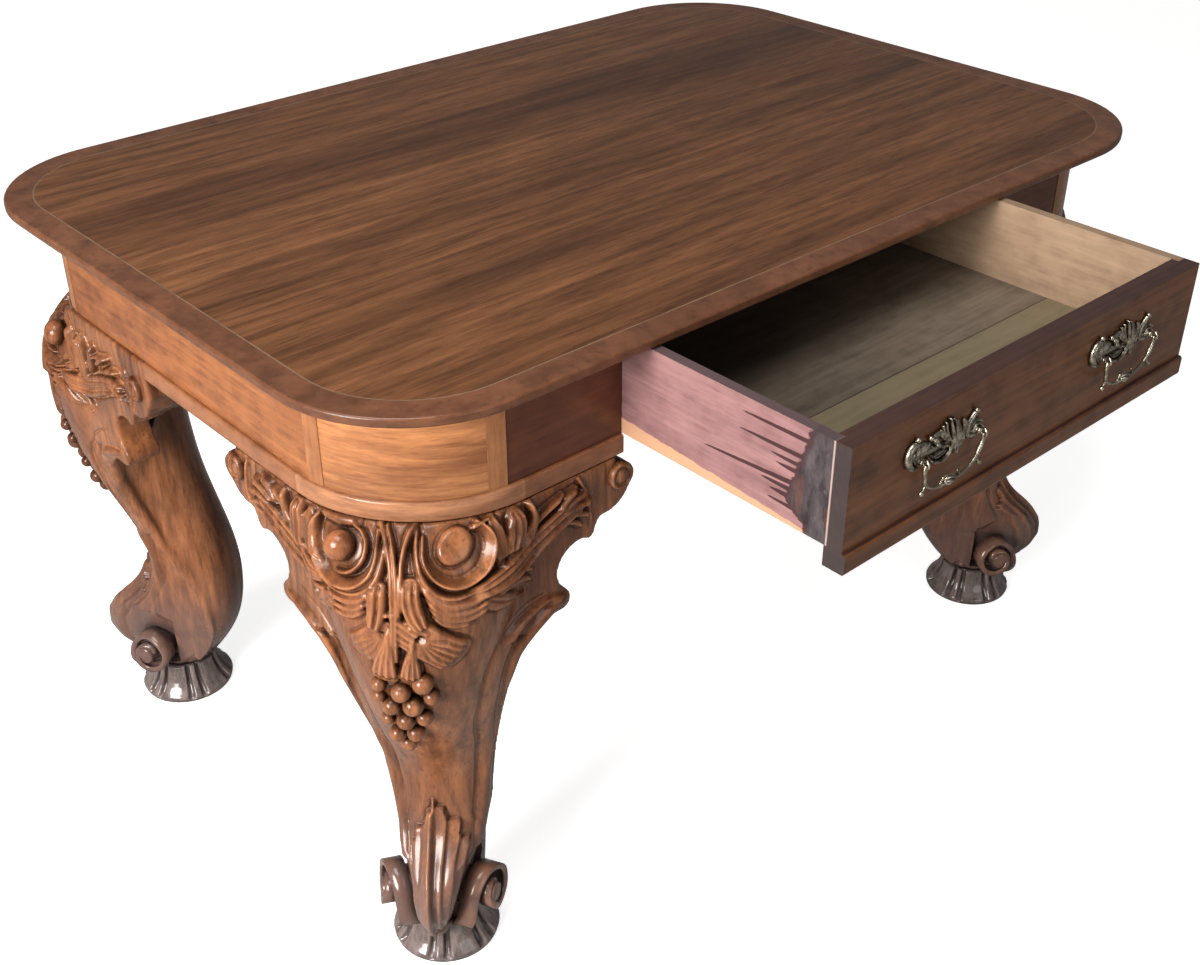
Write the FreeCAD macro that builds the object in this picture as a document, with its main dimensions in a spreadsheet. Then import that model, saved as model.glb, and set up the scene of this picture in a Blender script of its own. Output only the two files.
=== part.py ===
import FreeCAD, Part
import math
import os
import Sketcher
from types import SimpleNamespace

# Writing desk with a curved-corner apron, carved cabriole legs and one wide drawer.
# Millimetres. X runs along the desk, the drawer faces -Y, Z is up.
# The origin is on the floor under the middle of the top, and the drawer stands open.

# Driving sizes: name and value, in millimetres or degrees
SIZES = (
    ("desk_length", 1268),
    ("desk_width", 862),
    ("desk_height", 760),
    ("top_corner_radius", 158),
    ("top_thickness", 11),
    ("border_width", 32.5),
    ("edge_round", 3),
    ("stringing_width", 1.6),
    ("stringing_depth", 3),
    ("apron_side_inset", 38.5),
    ("apron_front_inset", 44),
    ("apron_corner_radius", 156),
    ("apron_thickness", 22),
    ("apron_height", 113),
    ("stile_start_angle", 6.5),
    ("stile_end_angle", 14),
    ("stile_proud", 0.8),
    ("band_height", 22.5),
    ("band_proud", 4.5),
    ("band_depth", 26),
    ("band_round", 3),
    ("leg_side_inset", 79.5),
    ("leg_front_inset", 76.5),
    ("leg_reach", 100),
    ("leg_half_width", 100),
    ("volute_radius", 24),
    ("volute_neck_radius", 18),
    ("volute_eye_radius", 11),
    ("volute_half_width", 72),
    ("volute_width", 19),
    ("volute_eye_proud", 4),
    ("pad_radius", 63.5),
    ("pad_neck_radius", 44),
    ("pad_height", 50),
    ("pad_edge_radius", 9),
    ("pad_sweep_radius", 62),
    ("wing_reach", 310),
    ("wing_drop", 160),
    ("wing_thickness", 44),
    ("drawer_offset", 17),
    ("drawer_width", 580),
    ("drawer_opening", 293.5),
    ("drawer_depth", 560),
    ("drawer_front_thickness", 26),
    ("drawer_side_thickness", 12.5),
    ("drawer_back_thickness", 12),
    ("drawer_back_drop", 8),
    ("drawer_floor_thickness", 8),
    ("drawer_floor_rise", 7),
    ("drawer_floor_tongue", 5),
    ("drawer_lap", 8),
    ("drawer_gap", 1.2),
    ("slide_clearance", 0.3),
    ("joint_clearance", 0.15),
    ("cheek_thickness", 20),
    ("runner_overlap", 26),
    ("runner_height", 18),
    ("stop_length", 24),
    ("stop_height", 14),
    ("glue_block_width", 20),
    ("glue_block_length", 70),
    ("nail_radius", 2.2),
    ("nail_proud", 0.6),
    ("pull_height", 62),
    ("post_spacing", 95),
    ("post_reach", 13),
    ("post_radius", 2.6),
    ("eye_ring_radius", 4.1),
    ("eye_wire_radius", 1.6),
    ("nut_radius", 6),
    ("nut_height", 4),
    ("plate_length", 116),
    ("plate_rise", 30),
    ("plate_fall", 7),
    ("plate_thickness", 2),
    ("bail_radius", 1.9),
    ("bail_drop", 34),
    ("bail_arm_spacing", 82),
    ("bail_bend_radius", 8),
    ("bail_pin_radius", 1.6),
    ("bail_pin_overrun", 5),
    ("bail_head_radius", 2.8),
    ("bail_head_length", 2.4),
)


class Measure:
    # A length or angle that knows its value and the sheet formula behind it

    def __init__(self, value, text):
        self.value = float(value)
        self.text = text

    def _join(self, other, sign, value):
        right = other.text if isinstance(other, Measure) else repr(float(other))
        return Measure(value, "(" + self.text + " " + sign + " " + right + ")")

    def __add__(self, other):
        return self._join(other, "+", self.value + number(other))

    def __sub__(self, other):
        return self._join(other, "-", self.value - number(other))

    def __mul__(self, other):
        return self._join(other, "*", self.value * number(other))

    def __rmul__(self, other):
        return self * other

    def __truediv__(self, other):
        return self._join(other, "/", self.value / number(other))

    def __neg__(self):
        return Measure(-self.value, "(-1 * " + self.text + ")")


def number(thing):
    return thing.value if isinstance(thing, Measure) else float(thing)


def sine(angle):
    return Measure(math.sin(math.radians(angle.value)), "sin(" + angle.text + ")")


def cosine(angle):
    return Measure(math.cos(math.radians(angle.value)), "cos(" + angle.text + ")")


def root(term):
    return Measure(math.sqrt(term.value), "sqrt(" + term.text + ")")


doc = FreeCAD.newDocument("writing_desk")
sheet = doc.addObject("Spreadsheet::Sheet", "Sizes")
size = SimpleNamespace()
for row, (alias, amount) in enumerate(SIZES, start=1):
    sheet.set("A" + str(row), alias)
    sheet.set("B" + str(row), str(amount))
    sheet.setAlias("B" + str(row), alias)
    setattr(size, alias, Measure(amount, "Sizes." + alias))
doc.recompute()

ZERO = Measure(0, "0")
QUARTER = Measure(90, "90")
nodes = []


# Helpers that draw and place pieces

def bind(thing, name, amount):
    if amount.text == "0":
        return
    thing.setExpression(name, amount.text)


def place_turned(thing, x, y, z, rotation):
    thing.Placement = FreeCAD.Placement(FreeCAD.Vector(x.value, y.value, z.value), rotation)
    bind(thing, "Placement.Base.x", x)
    bind(thing, "Placement.Base.y", y)
    bind(thing, "Placement.Base.z", z)


def move(thing, x, y, z, turn=0):
    # Place a piece at x, y, z, turned about the vertical
    place_turned(thing, x, y, z, FreeCAD.Rotation(FreeCAD.Vector(0, 0, 1), turn))


def keep(thing, label):
    thing.Label = label
    nodes.append(thing)
    return thing


def box(name, x, y, z):
    # A board between the low and high ends given for each axis
    board = doc.addObject("Part::Box", name)
    bind(board, "Length", x[1] - x[0])
    bind(board, "Width", y[1] - y[0])
    bind(board, "Height", z[1] - z[0])
    move(board, x[0], y[0], z[0])
    return board


def cut(name, base, *tools):
    for index, tool in enumerate(tools):
        result = doc.addObject("Part::Cut", name + "_cut" + str(index))
        result.Base = base
        result.Tool = tool
        base = result
    return base


def group(name, members):
    bundle = doc.addObject("Part::Compound", name + "_group")
    bundle.Links = members
    return keep(bundle, name)


def new_body(name):
    return doc.addObject("PartDesign::Body", name + "_body")


def new_sketch(body, name, role, lift=ZERO):
    # A sketch on one of the body's origin planes, lifted along that plane's normal
    sketch = body.newObject("Sketcher::SketchObject", name)
    plane = [item for item in body.Origin.OriginFeatures if item.Role == role][0]
    sketch.AttachmentSupport = (plane, [""])
    sketch.MapMode = "FlatFace"
    sketch.AttachmentOffset = FreeCAD.Placement(FreeCAD.Vector(0, 0, lift.value), FreeCAD.Rotation())
    bind(sketch, "AttachmentOffset.Base.z", lift)
    return sketch


def arc_between(start, end, radius, turn):
    # The short arc from start to end; turn 1 runs anticlockwise and -1 clockwise
    across = end - start
    middle = (start + end) / 2
    side = FreeCAD.Vector(-across.y, across.x, 0) * (turn / across.Length)
    centre = middle + side * math.sqrt(max(radius ** 2 - (across.Length / 2) ** 2, 0))
    first, last = (start, end) if turn > 0 else (end, start)
    low = math.atan2(first.y - centre.y, first.x - centre.x)
    high = math.atan2(last.y - centre.y, last.x - centre.x)
    return Part.ArcOfCircle(Part.Circle(centre, FreeCAD.Vector(0, 0, 1), radius), low, high)


def draw(sketch, path):
    # A closed outline: each corner is (x, y), or (x, y, radius, turn) where an arc leads to it
    corners = [FreeCAD.Vector(item[0].value, item[1].value, 0) for item in path]
    ends = []
    for index, item in enumerate(path):
        start = corners[index - 1]
        end = corners[index]
        if len(item) == 2:
            edge = sketch.addGeometry(Part.LineSegment(start, end), False)
            ends.append((edge, 1, 2))
            continue
        edge = sketch.addGeometry(arc_between(start, end, item[2].value, item[3]), False)
        ends.append((edge, 1, 2) if item[3] > 0 else (edge, 2, 1))
        spot = sketch.addConstraint(Sketcher.Constraint("Radius", edge, item[2].value))
        bind(sketch, "Constraints[" + str(spot) + "]", item[2])
    for index, item in enumerate(path):
        edge, _, tip = ends[index]
        following, tail, _ = ends[(index + 1) % len(path)]
        sketch.addConstraint(Sketcher.Constraint("Coincident", edge, tip, following, tail))
        for axis, amount in (("DistanceX", item[0]), ("DistanceY", item[1])):
            spot = sketch.addConstraint(Sketcher.Constraint(axis, -1, 1, edge, tip, amount.value))
            bind(sketch, "Constraints[" + str(spot) + "]", amount)


def circle(sketch, x, y, radius):
    centre = FreeCAD.Vector(x.value, y.value, 0)
    edge = sketch.addGeometry(Part.Circle(centre, FreeCAD.Vector(0, 0, 1), radius.value), False)
    spot = sketch.addConstraint(Sketcher.Constraint("Radius", edge, radius.value))
    bind(sketch, "Constraints[" + str(spot) + "]", radius)
    for axis, amount in (("DistanceX", x), ("DistanceY", y)):
        spot = sketch.addConstraint(Sketcher.Constraint(axis, -1, 1, edge, 3, amount.value))
        bind(sketch, "Constraints[" + str(spot) + "]", amount)


def pad(body, sketch, length, backwards=False, both=False):
    feature = body.newObject("PartDesign::Pad", sketch.Name + "_pad")
    feature.Profile = sketch
    feature.Reversed = backwards
    if both:
        feature.SideType = "Symmetric"
    bind(feature, "Length", length)
    return feature


def swept_round(body, sketch, angle):
    # Turn a profile about the body's own vertical axis
    feature = body.newObject("PartDesign::Revolution", sketch.Name + "_turn")
    feature.Profile = sketch
    feature.ReferenceAxis = (sketch, ["V_Axis"])
    bind(feature, "Angle", angle)
    return feature


def rectangle(x, y):
    return [(x[0], y[0]), (x[1], y[0]), (x[1], y[1]), (x[0], y[1])]


def rounded_rectangle(half_x, half_y, radius):
    inner_x = half_x - radius
    inner_y = half_y - radius
    return [
        (-inner_x, -half_y, radius, 1), (inner_x, -half_y),
        (half_x, -inner_y, radius, 1), (half_x, inner_y),
        (inner_x, half_y, radius, 1), (-inner_x, half_y),
        (-half_x, inner_y, radius, 1), (-half_x, -inner_y),
    ]


# Levels and faces that several pieces share

half_length = size.desk_length / 2
half_width = size.desk_width / 2
top_underside = size.desk_height - size.top_thickness
apron_bottom = top_underside - size.apron_height
band_bottom = apron_bottom - size.band_height
apron_x = half_length - size.apron_side_inset
apron_y = half_width - size.apron_front_inset
arc_x = apron_x - size.apron_corner_radius
arc_y = apron_y - size.apron_corner_radius
face_x = apron_x + size.band_proud
face_y = apron_y + size.band_proud
leg_x = apron_x - size.leg_side_inset
leg_y = apron_y - size.leg_front_inset
drawer_middle = -size.drawer_offset
drawer_left = drawer_middle - size.drawer_width / 2
drawer_right = drawer_middle + size.drawer_width / 2
opening_left = drawer_left - size.drawer_gap
opening_right = drawer_right + size.drawer_gap
closed_front = -apron_y
front_face = closed_front - size.drawer_opening
corners = (
    ("front_left", -1, -1, 180),
    ("front_right", 1, -1, 270),
    ("back_right", 1, 1, 0),
    ("back_left", -1, 1, 90),
)


# Top: field, stringing, straight borders and curved corner borders

def make_top():
    field_x = half_length - size.border_width
    field_y = half_width - size.border_width
    field_radius = size.top_corner_radius - size.border_width
    core_x = field_x - size.stringing_width
    core_y = field_y - size.stringing_width
    core_radius = field_radius - size.stringing_width
    stringing_level = size.desk_height - size.stringing_depth

    field = new_body("top_field")
    base = new_sketch(field, "field_base", "XY_Plane", top_underside)
    draw(base, rounded_rectangle(field_x, field_y, field_radius))
    pad(field, base, size.top_thickness - size.stringing_depth)
    crown = new_sketch(field, "field_crown", "XY_Plane", stringing_level)
    draw(crown, rounded_rectangle(core_x, core_y, core_radius))
    pad(field, crown, size.stringing_depth)
    keep(field, "top_field")

    stringing = new_body("top_stringing")
    ring = new_sketch(stringing, "stringing_ring", "XY_Plane", stringing_level)
    draw(ring, rounded_rectangle(field_x, field_y, field_radius))
    draw(ring, rounded_rectangle(core_x, core_y, core_radius))
    pad(stringing, ring, size.stringing_depth)
    keep(stringing, "top_stringing")

    def border_profile(outer, inward):
        # Section of the border with both outer edges eased; inward is 1 or -1
        inner = outer + inward * size.border_width
        eased = outer + inward * size.edge_round
        low = top_underside
        high = size.desk_height
        return [
            (inner, low), (eased, low),
            (outer, low + size.edge_round, size.edge_round, inward * -1),
            (outer, high - size.edge_round),
            (eased, high, size.edge_round, inward * -1),
            (inner, high),
        ]

    run_x = half_length - size.top_corner_radius
    run_y = half_width - size.top_corner_radius
    for name, sign in (("front", -1), ("back", 1)):
        body = new_body("top_border_" + name)
        sketch = new_sketch(body, "border_" + name, "YZ_Plane", -run_x)
        draw(sketch, border_profile(sign * half_width, -sign))
        pad(body, sketch, 2 * run_x)
        keep(body, "top_border_" + name)
    for name, sign in (("left", -1), ("right", 1)):
        body = new_body("top_border_" + name)
        sketch = new_sketch(body, "border_" + name, "XZ_Plane", -run_y)
        draw(sketch, border_profile(sign * half_length, -sign))
        pad(body, sketch, 2 * run_y)
        keep(body, "top_border_" + name)
    pieces = []
    for name, sign_x, sign_y, turn in corners:
        body = new_body("top_corner_" + name)
        sketch = new_sketch(body, "corner_" + name, "XZ_Plane")
        draw(sketch, border_profile(size.top_corner_radius, -1))
        swept_round(body, sketch, QUARTER)
        move(body, sign_x * run_x, sign_y * run_y, ZERO, turn)
        pieces.append(body)
    group("top_border_corners", pieces)


# Apron: flat panels that follow the corner up to the stile, curved panels and stiles

def along_corner(sign_x, sign_y, radius, angle, from_front):
    # A point on the corner arc; the angle is counted from the front or from the side face
    far = radius * cosine(angle)
    near = radius * sine(angle)
    if from_front:
        return sign_x * (arc_x + near), sign_y * (arc_y + far)
    return sign_x * (arc_x + far), sign_y * (arc_y + near)


def make_apron():
    outer = size.apron_corner_radius
    inner = outer - size.apron_thickness
    start = size.stile_start_angle
    inside_y = apron_y - size.apron_thickness
    inside_x = apron_x - size.apron_thickness

    def panel(name, path):
        body = new_body(name)
        sketch = new_sketch(body, name + "_plan", "XY_Plane", apron_bottom)
        draw(sketch, path)
        pad(body, sketch, size.apron_height)
        keep(body, name)

    for name, sign, edge in (("left", -1, opening_left), ("right", 1, opening_right)):
        tip_out = along_corner(sign, -1, outer, start, True)
        tip_in = along_corner(sign, -1, inner, start, True)
        panel("apron_front_" + name, [
            (edge, -inside_y), (edge, -apron_y), (sign * arc_x, -apron_y),
            (tip_out[0], tip_out[1], outer, sign), tip_in,
            (sign * arc_x, -inside_y, inner, -sign),
        ])
    back = [along_corner(sign, 1, radius, start, True) for sign in (1, -1) for radius in (outer, inner)]
    panel("apron_back", [
        (-arc_x, apron_y, outer, -1), (arc_x, apron_y),
        (back[0][0], back[0][1], outer, -1), back[1],
        (arc_x, inside_y, inner, 1), (-arc_x, inside_y),
        (back[3][0], back[3][1], inner, 1), back[2],
    ])
    for name, sign in (("left", -1), ("right", 1)):
        tips = [along_corner(sign, end, radius, start, False) for end in (1, -1) for radius in (outer, inner)]
        panel("apron_" + name, [
            (sign * apron_x, -arc_y, outer, sign), (sign * apron_x, arc_y),
            (tips[0][0], tips[0][1], outer, sign), tips[1],
            (sign * inside_x, arc_y, inner, -sign), (sign * inside_x, -arc_y),
            (tips[3][0], tips[3][1], inner, -sign), tips[2],
        ])

    def turned(name, low, high, depth, angle, centre, spin):
        body = new_body(name)
        sketch = new_sketch(body, name + "_section", "XZ_Plane")
        draw(sketch, rectangle((low, high), depth))
        swept_round(body, sketch, angle)
        move(body, centre[0], centre[1], ZERO, spin)
        return body

    upright = (apron_bottom, top_underside)
    stiles = []
    stile_angle = size.stile_end_angle - size.stile_start_angle
    for name, sign_x, sign_y, turn in corners:
        centre = (sign_x * arc_x, sign_y * arc_y)
        curved = turned("corner_panel_" + name, inner, outer, upright,
                        QUARTER - 2 * size.stile_end_angle, centre,
                        turn + size.stile_end_angle.value)
        keep(curved, "corner_panel_" + name)
        for end, spin in (("a", size.stile_start_angle.value), ("b", 90 - size.stile_end_angle.value)):
            stiles.append(turned("stile_" + name + "_" + end, inner, outer + size.stile_proud,
                                 upright, stile_angle, centre, turn + spin))
    group("apron_stiles", stiles)


# Band under the panels, with its lower outer edge rounded

def band_profile(outer, inward):
    inner = outer + inward * size.band_depth
    eased = outer + inward * size.band_round
    lip = outer + inward * size.band_proud
    return [
        (inner, band_bottom), (eased, band_bottom),
        (outer, band_bottom + size.band_round, size.band_round, inward * -1),
        (outer, apron_bottom - size.band_round),
        (eased, apron_bottom, size.band_round, inward * -1),
        (lip, apron_bottom), (inner, apron_bottom),
    ]


def make_bands():
    def strip(name, role, start, length, outer, inward):
        body = new_body(name)
        sketch = new_sketch(body, name + "_section", role, start)
        draw(sketch, band_profile(outer, inward))
        pad(body, sketch, length)
        keep(body, name)

    strip("band_front_left", "YZ_Plane", -arc_x, opening_left + arc_x, -face_y, 1)
    strip("band_front_right", "YZ_Plane", opening_right, arc_x - opening_right, -face_y, 1)
    rear_end_x = face_x - size.wing_reach
    rear_end_y = face_y - size.wing_reach
    strip("band_back", "YZ_Plane", -rear_end_x, 2 * rear_end_x, face_y, -1)
    strip("band_left", "XZ_Plane", -rear_end_y, rear_end_y + arc_y, -face_x, 1)
    strip("band_right", "XZ_Plane", -rear_end_y, rear_end_y + arc_y, face_x, -1)
    for name, sign_x, sign_y, turn in corners[:2]:
        body = new_body("band_corner_" + name)
        sketch = new_sketch(body, "band_corner_" + name + "_section", "XZ_Plane")
        draw(sketch, band_profile(size.apron_corner_radius + size.band_proud, -1))
        swept_round(body, sketch, QUARTER)
        move(body, sign_x * arc_x, sign_y * arc_y, ZERO, turn)
        keep(body, "band_corner_" + name[6:])


# Legs: lofts through level sections, widest at the knee, with a volute each side of the foot
# Columns: height, then front, shoulder, shoulder half width, crease, crease half width,
# back shoulder, back half width and back, all as shares of the leg's named sizes

LEG_SECTION_shares = (
    (0.000, 0.36, 0.12, 0.34, -0.04, 0.36, -0.14, 0.32, -0.38),
    (0.022, 0.60, 0.30, 0.38, -0.16, 0.42, -0.28, 0.38, -0.52),
    (0.062, 0.78, 0.44, 0.42, -0.34, 0.47, -0.44, 0.44, -0.70),
    (0.106, 0.84, 0.50, 0.42, -0.48, 0.49, -0.56, 0.46, -0.85),
    (0.151, 0.72, 0.40, 0.42, -0.58, 0.50, -0.66, 0.46, -0.94),
    (0.204, 0.42, 0.08, 0.46, -0.62, 0.54, -0.74, 0.48, -0.99),
    (0.275, 0.22, -0.16, 0.52, -0.57, 0.59, -0.72, 0.52, -1.00),
    (0.355, 0.21, -0.16, 0.56, -0.42, 0.62, -0.62, 0.54, -0.94),
    (0.444, 0.37, -0.04, 0.60, -0.18, 0.67, -0.44, 0.56, -0.82),
    (0.550, 0.64, 0.18, 0.66, 0.00, 0.76, -0.28, 0.60, -0.68),
    (0.656, 0.84, 0.34, 0.74, 0.09, 0.86, -0.16, 0.68, -0.60),
    (0.763, 0.94, 0.40, 0.86, 0.10, 0.99, -0.10, 0.80, -0.54),
    (0.878, 0.92, 0.32, 0.98, 0.06, 1.10, -0.08, 0.90, -0.50),
    (1.000, 0.49, 0.05, 1.11, 0.00, 1.13, -0.06, 0.96, -0.46),
)
DIAGONAL_TURN = 45
CREASE_share = 0.04
VOLUTE_OUT_share = 0.27
VOLUTE_UP_share = 0.088


def arc_radius(rise, half_chord):
    return (rise * rise + half_chord * half_chord) / (2 * rise)


def leg_outline(shares):
    reach = size.leg_reach
    spread = size.leg_half_width
    front, shoulder, shoulder_w, crease, crease_w, rear, rear_w, back = shares
    front_radius = arc_radius(reach * (front - shoulder), spread * shoulder_w)
    back_radius = arc_radius(reach * (rear - back), spread * rear_w)
    step_in = spread * (crease_w - CREASE_share)
    step_back = reach * (crease - CREASE_share)
    return [
        (reach * shoulder, spread * -shoulder_w), (reach * shoulder, spread * shoulder_w, front_radius, 1),
        (reach * crease, spread * crease_w), (step_back, step_in),
        (reach * rear, spread * rear_w), (reach * rear, spread * -rear_w, back_radius, 1),
        (step_back, -step_in), (reach * crease, spread * -crease_w),
    ]


def make_legs():
    legs = {}
    rise = band_bottom - size.pad_height
    for name, sign_x, sign_y, turn in corners:
        body = new_body("leg_" + name)
        sections = []
        for index, row in enumerate(LEG_SECTION_shares):
            level = size.pad_height + rise * row[0]
            sketch = new_sketch(body, "leg_" + name + "_section_" + str(index), "XY_Plane", level)
            draw(sketch, leg_outline(row[1:]))
            sections.append(sketch)
        loft = body.newObject("PartDesign::AdditiveLoft", "leg_" + name + "_loft")
        loft.Profile = sections[0]
        loft.Sections = sections[1:]
        loft.Ruled = False
        if sign_y > 0:
            head = new_sketch(body, "leg_" + name + "_head", "XY_Plane", band_bottom)
            draw(head, leg_outline(LEG_SECTION_shares[-1][1:]))
            pad(body, head, size.band_height)
        volute_x = size.leg_reach * VOLUTE_OUT_share
        volute_z = size.pad_height + rise * VOLUTE_UP_share
        for part_name, radius, reach in (
            ("neck", size.volute_neck_radius, size.volute_half_width - size.volute_width / 2),
            ("eye", size.volute_eye_radius, size.volute_half_width + size.volute_eye_proud),
        ):
            disc = new_sketch(body, "leg_" + name + "_" + part_name, "XZ_Plane")
            circle(disc, volute_x, volute_z, radius)
            pad(body, disc, 2 * reach, both=True)
        for side, sign in (("right", -1), ("left", 1)):
            disc = new_sketch(body, "leg_" + name + "_volute_" + side, "XZ_Plane", sign * size.volute_half_width)
            circle(disc, volute_x, volute_z, size.volute_radius)
            pad(body, disc, size.volute_width, backwards=sign > 0)
        move(body, sign_x * leg_x, sign_y * leg_y, ZERO, turn + DIAGONAL_TURN)
        legs[name] = keep(body, "leg_" + name)
    return legs


def make_feet():
    for name, sign_x, sign_y, turn in corners:
        body = new_body("foot_" + name)
        sketch = new_sketch(body, "foot_" + name + "_section", "XZ_Plane")
        draw(sketch, [
            (ZERO, ZERO), (size.pad_radius - size.pad_edge_radius / 2, ZERO),
            (size.pad_radius, size.pad_edge_radius, size.pad_edge_radius, 1),
            (size.pad_neck_radius, size.pad_height, size.pad_sweep_radius, -1),
            (ZERO, size.pad_height),
        ])
        swept_round(body, sketch, 4 * QUARTER)
        move(body, sign_x * leg_x, sign_y * leg_y, ZERO, turn)
        keep(body, "foot_" + name)


# Wings: scrolled brackets beside each knee
# Each corner: share of the reach, share of the drop, then share of the drop for an arc and its turn

WING_shares = (
    (0.915, 0.064),
    (0.985, 0.210, 0.115, -1),
    (0.835, 0.405, 0.250, -1),
    (0.810, 0.520),
    (0.776, 0.525, 0.040, -1),
    (0.650, 0.680, 0.190, 1),
    (0.690, 0.850, 0.200, 1),
    (0.672, 1.000, 0.085, -1),
)
WING_ROOT_share = 0.40
WING_HEAD_share = 0.915


def wing_outline(rear):
    reach = size.wing_reach
    drop = size.wing_drop
    top = apron_bottom if rear else band_bottom
    head = reach if rear else reach * WING_HEAD_share
    root_end = reach * WING_ROOT_share
    path = [(root_end, top), (head, top)]
    for index, row in enumerate(WING_shares):
        level = band_bottom - drop * row[1]
        if rear and index == 0:
            path.append((reach, level))
            continue
        if len(row) == 2:
            path.append((reach * row[0], level))
        else:
            path.append((reach * row[0], level, drop * row[2], row[3]))
    path.append((root_end, band_bottom - drop))
    return path


def swap(item, sign):
    # An arc keeps its radius and changes its turn when the outline is mirrored
    return (item[2], item[3] * sign) if len(item) == 4 else ()


def make_wings(legs):
    for name, sign_x, sign_y, turn in corners:
        rear = sign_y > 0
        for face in ("face", "side"):
            label = "wing_" + name + "_" + face
            body = new_body(label)
            outline = wing_outline(rear)
            if face == "face":
                sketch = new_sketch(body, label + "_outline", "XZ_Plane", -sign_y * face_y)
                turned = [(sign_x * (face_x - item[0]), item[1]) + swap(item, -sign_x) for item in outline]
                draw(sketch, turned)
                pad(body, sketch, size.wing_thickness, backwards=sign_y < 0)
            else:
                sketch = new_sketch(body, label + "_outline", "YZ_Plane", sign_x * face_x)
                turned = [(sign_y * (face_y - item[0]), item[1]) + swap(item, -sign_y) for item in outline]
                draw(sketch, turned)
                pad(body, sketch, size.wing_thickness, backwards=sign_x > 0)
            keep(cut(label, body, legs[name]), label)


# Inside: corner blocks, glue blocks, cheeks, runners and stops

GLUE_RUN_share = 0.62


def make_inside():
    blocks = []
    for name, sign_x, sign_y, turn in corners:
        low = apron_bottom if sign_y > 0 else band_bottom
        body = new_body("corner_block_" + name)
        sketch = new_sketch(body, "corner_block_" + name + "_section", "XZ_Plane")
        inner = size.apron_corner_radius - size.apron_thickness
        draw(sketch, rectangle((ZERO, inner), (low, top_underside)))
        swept_round(body, sketch, QUARTER)
        move(body, sign_x * arc_x, sign_y * arc_y, ZERO, turn)
        blocks.append(body)
    group("corner_blocks", blocks)

    inside_x = apron_x - size.apron_thickness
    inside_y = apron_y - size.apron_thickness
    run = size.glue_block_length / 2
    level = (top_underside - size.glue_block_width, top_underside)
    glued = []
    for sign in (-1, 1):
        for index, middle in enumerate((-arc_y / 2, arc_y / 2)):
            wall = sign * inside_x
            reach = sign * (inside_x - size.glue_block_width)
            low, high = (wall, reach) if sign < 0 else (reach, wall)
            glued.append(box("glue_side" + str(sign > 0) + str(index), (low, high),
                             (middle - run, middle + run), level))
    left_wall = opening_left - size.cheek_thickness
    right_wall = opening_right + size.cheek_thickness
    left_run = (left_wall + arc_x) * GLUE_RUN_share / 2
    right_run = (arc_x - right_wall) * GLUE_RUN_share / 2
    rows = (
        ((left_wall - arc_x) / 2, left_run),
        (drawer_middle, run),
        ((right_wall + arc_x) / 2, right_run),
    )
    for index, (middle, half_run) in enumerate(rows):
        glued.append(box("glue_back" + str(index), (middle - half_run, middle + half_run),
                         (inside_y - size.glue_block_width, inside_y), level))
    group("glue_blocks", glued)

    runner_top = apron_bottom - size.slide_clearance
    runner_front = size.band_depth + size.slide_clearance - face_y
    runner_back = face_y - size.wing_thickness - size.slide_clearance
    stops = []
    closed_back = closed_front + size.drawer_depth
    for name, edge, sign in (("left", opening_left, -1), ("right", opening_right, 1)):
        wall = edge + sign * size.cheek_thickness
        cheek = box("cheek_" + name, (wall, edge) if sign < 0 else (edge, wall),
                    (-inside_y, inside_y), (apron_bottom, top_underside))
        keep(cheek, "drawer_cheek_" + name)
        lip = edge - sign * size.runner_overlap
        runner_x = (wall, lip) if sign < 0 else (lip, wall)
        keep(box("runner_" + name, runner_x, (runner_front, runner_back),
                 (runner_top - size.runner_height, runner_top)), "runner_" + name)
        stop_y = closed_back + size.slide_clearance
        stop_x = (edge, lip) if sign < 0 else (lip, edge)
        stops.append(box("stop_" + name, stop_x, (stop_y, stop_y + size.stop_length),
                         (runner_top, runner_top + size.stop_height)))
    group("drawer_stops", stops)


# Drawer: box with lapped sides, a floor held in grooves, and the strip of band it carries

NAIL_shares = (0.2, 0.5, 0.84)


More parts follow.
